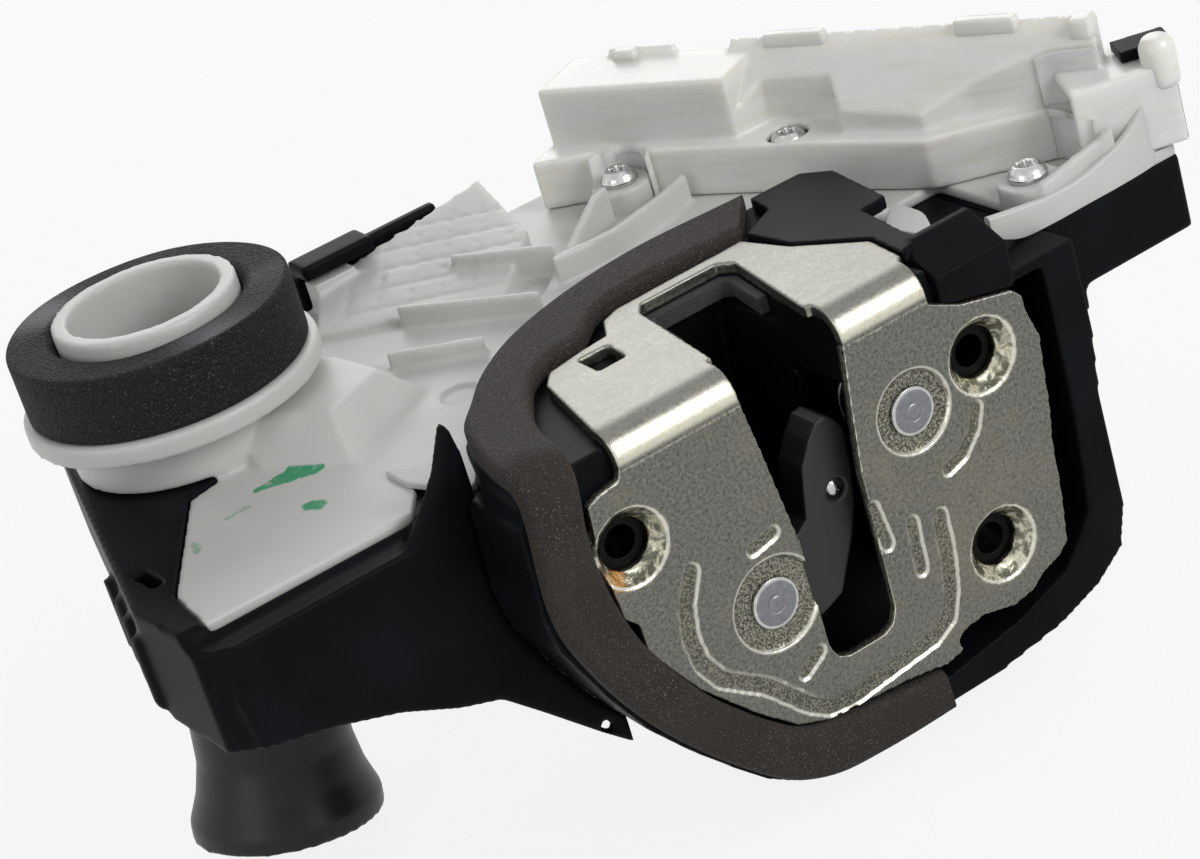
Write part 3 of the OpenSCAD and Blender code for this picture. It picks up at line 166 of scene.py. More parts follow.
# Springs: node, pivot, level of the foot, then coil radius, wire radius, rise, and angle and length of legs
COILS = (("fork_spring", FORK_PIVOT, 11.9, (6.0, 0.33, 1.68, ((190, 9), (300, 8)))),
         ("pawl_spring", PAWL_PIVOT, 11.4, (5.0, 0.4, 2.0, ((40, 5), (150, 9)))),
         ("inside_lever_spring", LEVER_AT, 6.9, (6.5, 0.4, 2.0, ((60, 10), (150, 10)))))


class Socket:
    """An output of a node, on which plain arithmetic adds Math nodes."""

    def __init__(self, finish, output):
        self.finish = finish
        self.output = output

    def _math(self, operation, first, second, clamp=False):
        settings = {"operation": operation, "use_clamp": clamp}
        return self.finish.node("ShaderNodeMath", settings, {0: first, 1: second})

    def __add__(self, other):
        return self._math("ADD", self, other)

    __radd__ = __add__

    def __mul__(self, other):
        return self._math("MULTIPLY", self, other)

    def __sub__(self, other):
        return self._math("SUBTRACT", self, other)

    def __rsub__(self, other):
        return self._math("SUBTRACT", other, self)

    def __truediv__(self, other):
        return self._math("DIVIDE", self, other)

    def __pow__(self, power):
        return self._math("POWER", self, power)

    def clamp(self):
        """Held between 0 and 1."""
        return self._math("ADD", self, 0.0, clamp=True)

    def smooth(self, low, high):
        """0 below low, 1 above high, and a smooth step between."""
        settings = {"interpolation_type": "SMOOTHSTEP"}
        return self.finish.node("ShaderNodeMapRange", settings, {0: self, 1: low, 2: high, 3: 0.0, 4: 1.0})


class Finish:
    """A material with a Principled shader and a few methods that add nodes to it."""

    def __init__(self, name, base, roughness, **fixed):
        self.material = bpy.data.materials.new(name)
        self.material.use_nodes = True
        self.tree = self.material.node_tree
        self.shader = self.tree.nodes["Principled BSDF"]
        self.set("Base Color", tuple(base) + (1.0,))
        self.set("Roughness", roughness)
        for key, value in fixed.items():
            self.set(key.replace("_", " "), value)
        self._coords = None

    def node(self, kind, settings=None, inputs=None, output=0):
        """Adds a node, applies its settings, then its socket values or links, and returns one output."""
        made = self.tree.nodes.new(kind)
        for key, value in (settings or {}).items():
            setattr(made, key, value)
        for key, value in (inputs or {}).items():
            if isinstance(value, Socket):
                self.tree.links.new(value.output, made.inputs[key])
            else:
                made.inputs[key].default_value = value
        return Socket(self, made.outputs[output])

    def set(self, name, value):
        """Sets a shader socket to a constant or links it to what varies over the surface."""
        if isinstance(value, Socket):
            self.tree.links.new(value.output, self.shader.inputs[name])
        else:
            self.shader.inputs[name].default_value = value

    def place(self, scale=1.0, at=(0, 0, 0), turn=(0, 0, 0)):
        """Object coordinates in millimetres, times scale, moved and turned."""
        if self._coords is None:
            self._coords = self.node("ShaderNodeTexCoord", output=3)
        scales = (scale,) * 3 if isinstance(scale, (int, float)) else scale
        size = tuple(1000.0 * v for v in scales)
        return self.node("ShaderNodeMapping", {"vector_type": "POINT"},
                         {"Vector": self._coords, "Location": at, "Rotation": turn, "Scale": size})

    def noise(self, scale, detail=4.0, rough=0.55, where=None, distortion=0.0):
        """Cloudy noise with its features about 1 / scale millimetres apart."""
        inputs = {"Vector": where or self.place(), "Scale": scale, "Detail": detail, "Roughness": rough,
                  "Distortion": distortion}
        return self.node("ShaderNodeTexNoise", {"noise_dimensions": "3D"}, inputs)

    def cells(self, scale):
        """Distance to the nearest of scattered points, 1 / scale millimetres apart."""
        return self.node("ShaderNodeTexVoronoi", {"feature": "F1"}, {"Vector": self.place(), "Scale": scale})

    def axis(self, letter):
        """One coordinate in millimetres."""
        return self.node("ShaderNodeSeparateXYZ", {}, {0: self.place()}, output="XYZ".index(letter))

    def mix(self, factor, first, second):
        """Blends two colours, each a tone or a Socket."""
        low, high = (c if isinstance(c, Socket) else tuple(c) + (1.0,) for c in (first, second))
        return self.node("ShaderNodeMix", {"data_type": "RGBA", "blend_type": "MIX"},
                         {0: factor, 6: low, 7: high}, output=2)

    def bump(self, height, strength, distance, normal=None):
        """A Bump node, with its depth in millimetres."""
        inputs = {"Height": height, "Strength": strength, "Distance": distance * MM}
        if normal is not None:
            inputs["Normal"] = normal
        return self.node("ShaderNodeBump", {}, inputs)


def apart(first, second):
    """The length of two offsets that stand square to each other."""
    return (first * first + second * second) ** 0.5


def zinc_steel(name, tone):
    """Zinc-plated sheet: mottled grains, and painted light and shade on its floors, rims, dishes, recesses
    and bend.
    """
    # Tone of the painted highlights on the rims and on the lips of the rivets' recesses
    highlight_tone = (0.72, 0.71, 0.62)
    f = Finish(name, tone, 0.36, Metallic=1.0)
    grain = f.noise(1.7, 4.0, 0.75)
    fine = f.noise(7.0, 2.0, 0.6)
    patch = f.noise(0.06, 3.0, 0.6, f.place(1.0, (3, 7, 1)))
    scuff = f.noise(0.5, 5.0, 0.75, f.place((0.25, 1.0, 1.6), turn=(0, 0.5, 0)))
    x, y, z = f.axis("X"), f.axis("Y"), f.axis("Z")
    # The front face ends at the fold, the rims lie just behind it and the pressed floors deeper
    front = 1.0 - z.smooth(12.4, 13.6)
    rim = y.smooth(0.01, 0.1) * (1.0 - y.smooth(0.32, 0.46)) * front
    floor = y.smooth(0.4, 0.5) * (1.0 - y.smooth(1.0, 1.6)) * front
    mottled = (grain * 0.65 + fine * 0.35).smooth(0.36, 0.64)
    base = f.mix(mottled, tuple(c * 0.5 for c in tone), tuple(min(1.0, c * 1.4) for c in tone))
    base = f.mix(patch.smooth(0.5, 0.8) * 0.3, base, (0.3, 0.27, 0.17))
    base = f.mix(scuff.smooth(0.64, 0.74) * 0.35, base, (0.5, 0.5, 0.48))
    stipple = f.noise(2.4, 3.0, 0.8).smooth(0.42, 0.6)
    # Painted shade: the pressed floors darkened towards a stippled dark grey
    base = f.mix(floor * 0.75, base, f.mix(stipple, (0.05, 0.05, 0.042), (0.3, 0.29, 0.22)))
    # Painted light and shade in the dishes around the screw holes, as dark and bright noisy facets
    rings = (1.0 - (apart(x - at_x, z - at_z) + grain * 0.5).smooth(6.3, 7.1) for at_x, at_z in HOLES)
    dish = sum(rings).clamp() * front
    facet = f.noise(0.6, 2.0, 0.5, distortion=0.4)
    base = f.mix(dish * 0.9, base, f.mix(facet.smooth(0.4, 0.6), (0.12, 0.12, 0.09), (0.56, 0.54, 0.42)))
    # Painted shade in the wells and painted highlights on the lips of the rivets' recesses
    for at_x, at_z, reach in RECESSES:
        away = apart(x - at_x, z - at_z)
        lip = away.smooth(reach - 0.3, reach) * (1.0 - away.smooth(reach + 0.25, reach + 0.6)) * front
        well = (1.0 - away.smooth(reach - 0.5, reach - 0.2)) * front
        base = f.mix(well * 0.5, base, f.mix(stipple, (0.05, 0.05, 0.04), (0.42, 0.41, 0.33)))
        base = f.mix(lip * (0.35 + grain * 0.6), base, highlight_tone)
    # Black mark on the flange and orange stain by the left hole
    off_x, off_y = x - MARK_AT[0], y - MARK_AT[1]
    mark = 1.0 - ((off_x * off_x * 0.5 + off_y * off_y * 3.0) ** 0.5 + facet * 1.4).smooth(1.2, 1.5)
    base = f.mix(mark * z.smooth(17.8, 18.2), base, (0.01, 0.01, 0.01))
    stain = 1.0 - (apart(x - STAIN_AT[0], z - STAIN_AT[1]) + facet * 1.5).smooth(1.6, 3.0)
    base = f.mix(stain * front * 0.7, base, (0.62, 0.3, 0.08))
    # Painted highlight on the rims just behind the front face
    base = f.mix(rim * (0.45 + grain * 0.5), base, highlight_tone)
    # The flange painted in a flat lit tone, a painted highlight on the bend before it and on the thin line
    # under the bend
    flange = y.smooth(0.3, 2.5) * z.smooth(13.0, 15.0)
    base = f.mix(flange * (0.75 - scuff.smooth(0.4, 0.7) * 0.3), base, (0.25, 0.247, 0.222))
    fold = z.smooth(13.2, 14.2) * (1.0 - z.smooth(16.2, 17.4))
    base = f.mix(fold * (0.5 + scuff * 0.4), base, (0.78, 0.76, 0.62))
    line = z.smooth(12.5, 12.7) * (1.0 - z.smooth(12.9, 13.1)) * (1.0 - y.smooth(0.3, 0.6))
    base = f.mix(line * grain.smooth(0.35, 0.6) * 0.6, base, (0.5, 0.49, 0.42))
    f.set("Base Color", base)
    f.set("Roughness", (0.26 + mottled * 0.2) * (1.0 - dish * 0.45) - rim * 0.06)
    grains = f.bump(mottled * 0.6 + fine * 0.4, 0.3, 0.05)
    f.set("Normal", f.bump(facet * dish, 0.6, 0.4, f.bump(stipple * floor, 0.6, 0.12, grains)))
    return f.material


def bright_steel(name, tone, rough):
    """Plated metal with soft clouds in its tone and fine tool marks."""
    f = Finish(name, tone, rough, Metallic=1.0)
    cloud = f.noise(0.9, 4.0, 0.6)
    fine = f.noise(7.0, 2.0, 0.6)
    f.set("Base Color", f.mix(cloud.smooth(0.4, 0.7), tuple(c * 0.8 for c in tone), tone))
    f.set("Roughness", rough + cloud * 0.12)
    f.set("Normal", f.bump(fine, 0.15, 0.03))
    return f.material


def moulded(name, tone, rough, grain=0.25, depth=0.02, dust=0.04, gloss=0.35, pale=None):
    """Moulded plastic: flow clouds from the tone to a paler one, and a fine skin texture."""
    f = Finish(name, tone, rough, Specular_IOR_Level=gloss)
    cloud = f.noise(0.05, 3.0, 0.5)
    skin = f.noise(4.5, 3.0, 0.65)
    pale = pale or tuple(min(1.0, c + dust) for c in tone)
    f.set("Base Color", f.mix(cloud.smooth(0.35, 0.75), tone, pale))
    f.set("Roughness", rough - 0.05 + cloud * 0.1 + skin * 0.08)
    f.set("Normal", f.bump(skin, grain, depth))
    return f.material


def white_acetal(name, tone, paint):
    """White acetal that lets light in a little way, with soft flow clouds and strokes of inspection paint."""
    f = Finish(name, tone, 0.42, Subsurface_Weight=0.25, Subsurface_Scale=0.004)
    f.shader.inputs["Subsurface Radius"].default_value = (1.0, 0.95, 0.85)
    cloud = f.noise(0.06, 4.0, 0.5, f.place(1.0, (11, 5, 2)))
    skin = f.noise(2.5, 3.0, 0.6)
    ragged = f.noise(0.7, 4.0, 0.7)
    x, y, z = f.axis("X"), f.axis("Y"), f.axis("Z")
    base = f.mix(cloud.smooth(0.35, 0.7), tone, tuple(c * 0.93 for c in tone))
    on_cover = z.smooth(10.4, 10.8) * (1.0 - z.smooth(11.3, 11.6))
    for (x0, y0), (x1, y1), thin, thick, strength in STROKES:
        long_x, long_y = x1 - x0, y1 - y0
        share = (((x - x0) * long_x + (y - y0) * long_y) / (long_x ** 2 + long_y ** 2)).clamp()
        away = apart(x - x0 - share * long_x, y - y0 - share * long_y) + (ragged - 0.5) * 2.2
        near = 1.0 - (away - share * (thick - thin)).smooth(thin * 0.75, thin * 1.25)
        streak = 1.0 - ragged.smooth(0.5, 0.7) * 0.6
        base = f.mix(near * on_cover * streak * strength, base, paint)
    f.set("Base Color", base)
    f.set("Roughness", 0.36 + cloud * 0.1 + skin * 0.05)
    f.set("Normal", f.bump(skin, 0.12, 0.02))
    return f.material


def milky_cover(name, tone, warm):
    """Milky translucent polypropylene with warm streaks along its length."""
    f = Finish(name, tone, 0.3, Subsurface_Weight=0.5, Subsurface_Scale=0.006)
    f.shader.inputs["Subsurface Radius"].default_value = (1.0, 0.85, 0.65)
    along = f.place((0.12, 0.12, 0.9), turn=(0, 0, COVER_TURN))
    streak = f.noise(0.5, 3.0, 0.55, along)
    cloud = f.noise(0.05, 3.0, 0.5)
    base = f.mix(streak.smooth(0.45, 0.8) * 0.45, tone, warm)
    f.set("Base Color", f.mix(cloud.smooth(0.4, 0.7) * 0.3, base, tuple(c * 1.08 for c in tone)))
    f.set("Roughness", 0.22 + cloud * 0.12)
    f.set("Normal", f.bump(cloud + streak * 0.3, 0.2, 0.15))
    return f.material


def foam(name, tone, speck, cell, depth, skin_z=None, skin_and_sheen_tone=None):
    """Foam: close small pores with pale specks between them, and above a height where given a smooth skin in
    a lighter tone that paints its sheen.
    """
    f = Finish(name, tone, 0.85, Specular_IOR_Level=0.25)
    pore = f.cells(cell)
    fine = f.noise(cell * 1.7, 2.0, 0.7)
    cloud = f.noise(0.12, 3.0, 0.5)
    base = f.mix(pore.smooth(0.1, 0.6) * 0.6, tuple(c * 0.55 for c in tone), tone)
    base = f.mix(fine.smooth(0.6, 0.72), base, speck)
    base = f.mix(cloud.smooth(0.4, 0.7) * 0.3, base, tuple(c * 1.3 for c in tone))
    rough = 0.6 + pore * 0.3
    rise = pore + fine * 0.4
    if skin_z is not None:
        skin = f.axis("Z").smooth(skin_z - 0.25, skin_z + 0.05)
        # The smooth skin on top, in a lighter bluish tone that is a painted sheen
        base = f.mix(skin, base, f.mix(cloud.smooth(0.3, 0.7), skin_and_sheen_tone, tuple(c * 0.7 for c in skin_and_sheen_tone)))
        rough = rough * (1.0 - skin) + skin * (0.38 + cloud * 0.15)
        rise = rise * (1.0 - skin * 0.93)
    f.set("Base Color", base)
    f.set("Roughness", rough)
    f.set("Normal", f.bump(rise, 0.7, depth))
    return f.material


def plain_board(name, tone):
    """Resin board with a faint weave."""
    f = Finish(name, tone, 0.4)
    weave = f.noise(3.0, 2.0, 0.5, f.place((1.0, 4.0, 1.0)))
    f.set("Base Color", f.mix(weave, tone, tuple(c * 1.4 for c in tone)))
    f.set("Roughness", 0.35 + weave * 0.2)
    return f.material


def finishes(sizes):
    """Every material slot's finish, by the slot's name."""
    ring_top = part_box("ring_foam")[1].z / MM
    return {
        "zinc_steel": zinc_steel("zinc_steel", tuple(sizes.zinc_tone)),
        # Near-black steel, which on the screw nuts paints the shade in their holes
        "dark_steel": bright_steel("dark_steel", (0.012, 0.012, 0.012), 0.4),
        "bright_steel": bright_steel("bright_steel", (0.62, 0.62, 0.61), 0.16),
        "spring_steel": bright_steel("spring_steel", (0.26, 0.265, 0.28), 0.3),
        "black_plastic": moulded("black_plastic", tuple(sizes.black_tone), 0.36, grain=0.2, depth=0.02,
                                 gloss=0.04, pale=(0.0075, 0.0085, 0.011)),
        "funnel_plastic": moulded("funnel_plastic", (0.006, 0.006, 0.006), 0.36, grain=0.2, depth=0.02,
                                  dust=0.004, gloss=0.3),
        "fork_plastic": moulded("fork_plastic", (0.008, 0.008, 0.008), 0.46, grain=0.5, depth=0.06,
                                dust=0.008, gloss=0.5),
        "grey_plastic": moulded("grey_plastic", (0.5, 0.5, 0.48), 0.4),
        "white_plastic": white_acetal("white_plastic", tuple(sizes.white_tone), (0.01, 0.31, 0.13)),
        "milky_plastic": milky_cover("milky_plastic", tuple(sizes.milky_tone), (0.66, 0.6, 0.48)),
        "ivory_plastic": moulded("ivory_plastic", (0.7, 0.66, 0.56), 0.4),
        "strip_foam": foam("strip_foam", tuple(sizes.foam_tone), (0.26, 0.23, 0.2), 2.6, 0.2),
        # The ring foam's top takes a lighter bluish skin tone, a painted sheen on its smooth skin
        "ring_foam": foam("ring_foam", (0.009, 0.009, 0.0085), (0.14, 0.14, 0.13), 1.9, 0.4, ring_top,
                          (0.026, 0.029, 0.036)),
        "grey_pad": foam("grey_pad", (0.06, 0.06, 0.06), (0.14, 0.14, 0.14), 2.0, 0.1),
        "black_rubber": moulded("black_rubber", (0.012, 0.012, 0.012), 0.6, grain=0.3, depth=0.02,
                                dust=0.004, gloss=0.2),
        "brass": bright_steel("brass", (0.75, 0.58, 0.28), 0.25),
        "board": plain_board("board", (0.06, 0.16, 0.09)),
    }


# Finishes by slot, filled at the first use
MADE = {}


def finish_of(slot):
    """The finish of a material slot, made once."""
    if not MADE:
        MADE.update(finishes(bpy.context.scene.latch_looks))
    return MADE[slot]


def shaded_smooth(mesh):
    """Marks every face of a mesh as smooth."""
    mesh.polygons.foreach_set("use_smooth", [True] * len(mesh.polygons))


def dress(node):
    """Gives a CAD node that stays its slot's finish."""
    target = NODES[node]
    target.data.materials.clear()
    target.data.materials.append(finish_of(SLOT[node]))


def clean_copy(node):
    """An object with a copy of a CAD node's mesh, its doubles merged, which stands for the node."""
    mesh = NODES[node].data.copy()
    bm = bmesh.new()
    bm.from_mesh(mesh)
    bmesh.ops.remove_doubles(bm, verts=bm.verts, dist=2e-6)
    bmesh.ops.recalc_face_normals(bm, faces=bm.faces)
    bm.to_mesh(mesh)
    bm.free()
    mesh.name = node + "_dressed"
    mesh.materials.clear()
    mesh.materials.append(finish_of(FINISH.get(node, SLOT[node])))
    piece = bpy.data.objects.new(node + "_dressed", mesh)
    bpy.context.scene.collection.objects.link(piece)
    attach(piece, BODY[node])
    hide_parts(node)
    return piece


def rounded(node, width):
    """A copy of a CAD node with its edges rounded by a bevel."""
    piece = clean_copy(node)
    bm = bmesh.new()
    bm.from_mesh(piece.data)
    bmesh.ops.dissolve_limit(bm, angle_limit=math.radians(1.0), verts=bm.verts, edges=bm.edges)
    bm.to_mesh(piece.data)
    bm.free()
    bevel = piece.modifiers.new("edges", "BEVEL")
    bevel.width = width * MM
    bevel.segments = 1
    bevel.limit_method = "ANGLE"
    bevel.angle_limit = BEVEL_ANGLE
    bevel.harden_normals = True
    shaded_smooth(piece.data)
    piece.data.set_sharp_from_angle(angle=BEVEL_ANGLE)
    return piece


def softened_solid(node, voxel, rounds, keep):
    """A copy of a CAD node remeshed in small cells and smoothed, which rounds its edges like a moulding's."""
    piece = clean_copy(node)
    remesh = piece.modifiers.new("cells", "REMESH")
    remesh.mode = "VOXEL"
    remesh.voxel_size = voxel * MM
    relax = piece.modifiers.new("relax", "SMOOTH")
    relax.factor = 0.5
    relax.iterations = rounds
    thin = piece.modifiers.new("thin", "DECIMATE")
    thin.ratio = keep
    bpy.context.view_layer.update()
    shape = bpy.data.meshes.new_from_object(piece.evaluated_get(bpy.context.evaluated_depsgraph_get()))
    piece.modifiers.clear()
    shape.materials.clear()
    shape.materials.append(finish_of(FINISH.get(node, SLOT[node])))
    shape.name = node + "_soft"
    piece.data = shape
    shaded_smooth(shape)
    return piece


def worn_down(piece, low, high, level, rise_from):
    """Lowers a softened copy inside a box of its plan: z becomes min(z, level + max(0, rise_from - y))."""
    points = np.empty(len(piece.data.vertices) * 3)
    piece.data.vertices.foreach_get("co", points)
    points = points.reshape(-1, 3) / MM
    inside = (points[:, :2] > low).all(axis=1) & (points[:, :2] < high).all(axis=1)
    limit = level + np.maximum(0, rise_from - points[:, 1])
    points[:, 2] = np.where(inside, np.minimum(points[:, 2], limit), points[:, 2])
    piece.data.vertices.foreach_set("co", (points * MM).ravel())
    piece.data.update()


def linked(name, verts, faces, slot, body):
    """A new mesh piece from points in millimetres, its seams and poles closed and its faces outwards."""
    mesh = bpy.data.meshes.new(name)
    mesh.from_pydata((np.asarray(verts, float) * MM).tolist(), [], np.asarray(faces).tolist())
    bm = bmesh.new()
    bm.from_mesh(mesh)
    bmesh.ops.remove_doubles(bm, verts=bm.verts, dist=1e-6)
    bmesh.ops.dissolve_degenerate(bm, edges=bm.edges, dist=1e-7)
    bmesh.ops.recalc_face_normals(bm, faces=bm.faces)
    bm.to_mesh(mesh)
    bm.free()
    shaded_smooth(mesh)
    mesh.set_sharp_from_angle(angle=SHARP_ANGLE)
    piece = bpy.data.objects.new(name, mesh)
    bpy.context.scene.collection.objects.link(piece)
    mesh.materials.append(finish_of(slot))
    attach(piece, body)
    return piece


def grid_faces(rows, columns, closed=False):
    """Quads of a grid of points that closes around its rows, and over its last and first row where closed."""
    row, column = np.meshgrid(np.arange(rows if closed else rows - 1), np.arange(columns), indexing="ij")
    row, column = row.ravel(), column.ravel()
    below, beside = (row + 1) % rows, (column + 1) % columns
    return np.stack([row * columns + column, row * columns + beside, below * columns + beside,
                     below * columns + column], axis=1)


def softened(points, radius, steps=4, closed=True):
    """Corners as curves (1-t)^2 A + 2t(1-t) C + t^2 B, with A and B a radius or 45% of a side from C."""
    corner = np.asarray(points, float)
    sides = np.roll(corner, 1, 0) - corner, np.roll(corner, -1, 0) - corner
    reaches = [np.linalg.norm(side, axis=1, keepdims=True) + 1e-9 for side in sides]
    first, last = (corner + side / reach * np.minimum(radius, 0.45 * reach)
                   for side, reach in zip(sides, reaches))
    if not closed:
        first[0], last[0], first[-1], last[-1] = corner[0], corner[0], corner[-1], corner[-1]
    t = np.linspace(0, 1, steps + 1)[None, :, None]
    curve = (1 - t) ** 2 * first[:, None] + 2 * t * (1 - t) * corner[:, None] + t ** 2 * last[:, None]
    return curve.reshape(-1, corner.shape[1])


def turned(profile, steps, at, axis="Z"):
    """A profile (r, h) turned about Z as (r cos a, r sin a, h), or about Y as (r cos a, h, r sin a)."""
    angle = np.linspace(0, 2 * math.pi, steps, endpoint=False)[None, :]
    radius, height = np.asarray(profile, float).T[:, :, None]
    first = at[0] + radius * np.cos(angle)
    second = at[1] + radius * np.sin(angle)
    level = height + 0 * angle
    order = (first, second, level) if axis == "Z" else (first, level, second)
    return np.stack(order, axis=-1)


def through(points, count):
    """A Catmull-Rom curve through the points, at evenly spaced stations along it."""
    p = np.asarray(points, float)
    p = np.vstack([2 * p[0] - p[1], p, 2 * p[-1] - p[-2]])
    t = np.linspace(0, 1, 12, endpoint=False)[None, :, None]
    a, b, c, d = (p[k:len(p) - 3 + k, None] for k in range(4))
    curve = 0.5 * (2 * b + (c - a) * t + (2 * a - 5 * b + 4 * c - d) * t ** 2
                   + (3 * b - a - 3 * c + d) * t ** 3)
    curve = np.vstack([curve.reshape(-1, p.shape[1]), p[-2]])
    run = np.concatenate([[0], np.cumsum(np.linalg.norm(np.diff(curve, axis=0), axis=1))])
    even = np.linspace(0, run[-1], count)
    return np.stack([np.interp(even, run, column) for column in curve.T], axis=1)


def capped(rings):
    """Rings of points with each end drawn to its own middle, as the rows of a closed grid."""
    ends = rings[[0, -1]].mean(axis=1, keepdims=True) + 0 * rings[[0, -1]]
    return np.vstack([ends[:1], rings, ends[1:]])


def wire(path, radius, sides=10):
    """A round wire: centre + r (cos a N + sin a B), where B is Z less its share along the path."""
    along = np.gradient(path, axis=0)
    along /= np.linalg.norm(along, axis=1, keepdims=True)
    up = np.array([0.0, 0.0, 1.0]) - along * along[:, 2:]
    up /= np.linalg.norm(up, axis=1, keepdims=True)
    side = np.cross(along, up)
    angle = np.linspace(0, 2 * math.pi, sides, endpoint=False)[None, :, None]
    return capped(path[:, None] + radius * (np.cos(angle) * side[:, None] + np.sin(angle) * up[:, None]))


def in_cover_run(points):
    """Points (s, v, z) of the gear cover's own run: corner + s (cos a, -sin a) + v (sin a, cos a)."""
    s, v, z = np.moveaxis(np.asarray(points, float), -1, 0)
    cos, sin = math.cos(COVER_TURN), math.sin(COVER_TURN)
    return np.stack([COVER_CORNER[0] + s * cos + v * sin, COVER_CORNER[1] - s * sin + v * cos, z], axis=-1)


def pad(outline, low, high, edge, corner=0.8):
    """A convex slab: its outline is drawn to its middle by edge (1 - cos t) while it rises by edge sin t."""
    outline = softened(outline, corner, 4)
    middle = outline.mean(axis=0)
    reach = np.linalg.norm(outline - middle, axis=1)[None, :, None]
    t = np.linspace(0, math.pi / 2, 5)
    drawn = np.concatenate([[0], edge * (1 - np.cos(t))])[:, None, None]
    level = np.concatenate([[low], high - edge + edge * np.sin(t)])[:, None, None]
    plan = middle + (outline - middle)[None] * np.maximum(0, 1 - drawn / reach)
    return capped(np.concatenate([plan, level + 0 * plan[..., :1]], axis=-1))


def band(stations, thick, edge, count=40):
    """A standing sheet along (x, y, low, high) stations: its section is carried square to its run in plan."""
    run = through(stations, count)
    heading = np.gradient(run[:, :2], axis=0)
    heading /= np.linalg.norm(heading, axis=1, keepdims=True)
    across = np.stack([-heading[:, 1], heading[:, 0]], axis=1)
    t = np.linspace(0, math.pi / 2, 4)
    aside = np.concatenate([[0], edge * (1 - np.cos(t)), thick - edge * (1 - np.cos(t[::-1])), [thick]])
    drop = np.concatenate([[0], edge * (1 - np.sin(t)), edge * (1 - np.sin(t[::-1])), [0]])
    plan = run[:, None, :2] + across[:, None] * aside[None, :, None]
    level = run[:, None, 3] - drop[None, :]
    level[:, [0, -1]] = run[:, 2:3]
    return capped(np.concatenate([plan, level[..., None]], axis=-1))


def join(*grids):
    """Several closed grids as one list of points and one list of quads."""
    verts, faces, count = [], [], 0
    for grid in grids:
        verts.append(grid.reshape(-1, 3))
        faces.append(grid_faces(*grid.shape[:2]) + count)
        count += len(verts[-1])
    return np.vstack(verts), np.vstack(faces)


def worm_thread():
    """The motor's shaft with its worm, r = root + ridge tooth(s / pitch - a / 2 pi), along the motor's line.

    The tooth of u is (0.34 - |u - 0.5|) / 0.16, held between 0 and 1, with u taken between 0 and 1. The ridge
    fades out at both ends.
    """
    start, first, last, end = 6.8, 24.4, 32.4, 35.0
    root, ridge, shaft, pitch = 2.3, 1.05, 1.5, 1.9
    worm = np.linspace(first, last, 121)
    s = np.concatenate([[start, start + 0.1, first - 0.2, first], worm, [last, last + 0.2, end - 0.1, end]])
    s = s[:, None]
    angle = np.linspace(0, 2 * math.pi, 40, endpoint=False)[None, :]
    share = (s / pitch - angle / (2 * math.pi)) % 1.0
    tooth = np.clip((0.34 - np.abs(share - 0.5)) / 0.16, 0, 1)
    taper = np.clip(np.minimum(s - first, last - s) / 0.8, 0, 1)
    radius = root + ridge * tooth * taper
    radius[:4], radius[-4:] = shaft, shaft
    radius[[0, -1]] = shaft - 0.2
    v = MOTOR_LINE[0] + radius * np.cos(angle)
    return capped(in_cover_run(np.stack([s + 0 * v, v, MOTOR_LINE[1] + radius * np.sin(angle)], axis=-1)))


def leg_spring(coil_radius, wire_radius, rise, legs):
    """A coil R (cos a, sin a) that rises evenly with its angle, and a straight leg at each end."""
    (first, first_long), (last, last_long) = legs
    lean = 0.1
    angle = np.radians(np.linspace(first, last + 360, 90))
    coil = np.stack([coil_radius * np.cos(angle), coil_radius * np.sin(angle),
                     np.linspace(0.25, 0.75, 90) * rise], axis=1)
    strands = [wire(coil, wire_radius)]
    for turn, long, share in ((first, first_long, 0.25), (last, last_long, 0.75)):
        a = math.radians(turn)
        foot = np.array([coil_radius * math.cos(a), coil_radius * math.sin(a), share * rise])
        way = np.array([math.sin(a + lean), -math.cos(a + lean), 0])
        strands.append(wire(foot + way * np.linspace(0, long, 6)[:, None], wire_radius))
    return join(*strands)


# The foam strip: radius of its fold, its outer faces on the front and on the deck, and its thickness
FOAM_RADIUS = 5.5
FOAM_FRONT_Y = -1.2
FOAM_TOP_Z = 20.0
FOAM_THICK = 3.2
FOAM_ARC = math.pi / 2 * FOAM_RADIUS


def on_front(x, z):
    """A point of the foam's front run, as X and its distance from the fold along the strip."""
    return x, z - (FOAM_TOP_Z - FOAM_RADIUS)


def on_deck(x, y):
    """A point of the foam's run on the deck, as X and its distance from the fold along the strip."""
    return x, FOAM_ARC + y - (FOAM_FRONT_Y + FOAM_RADIUS)


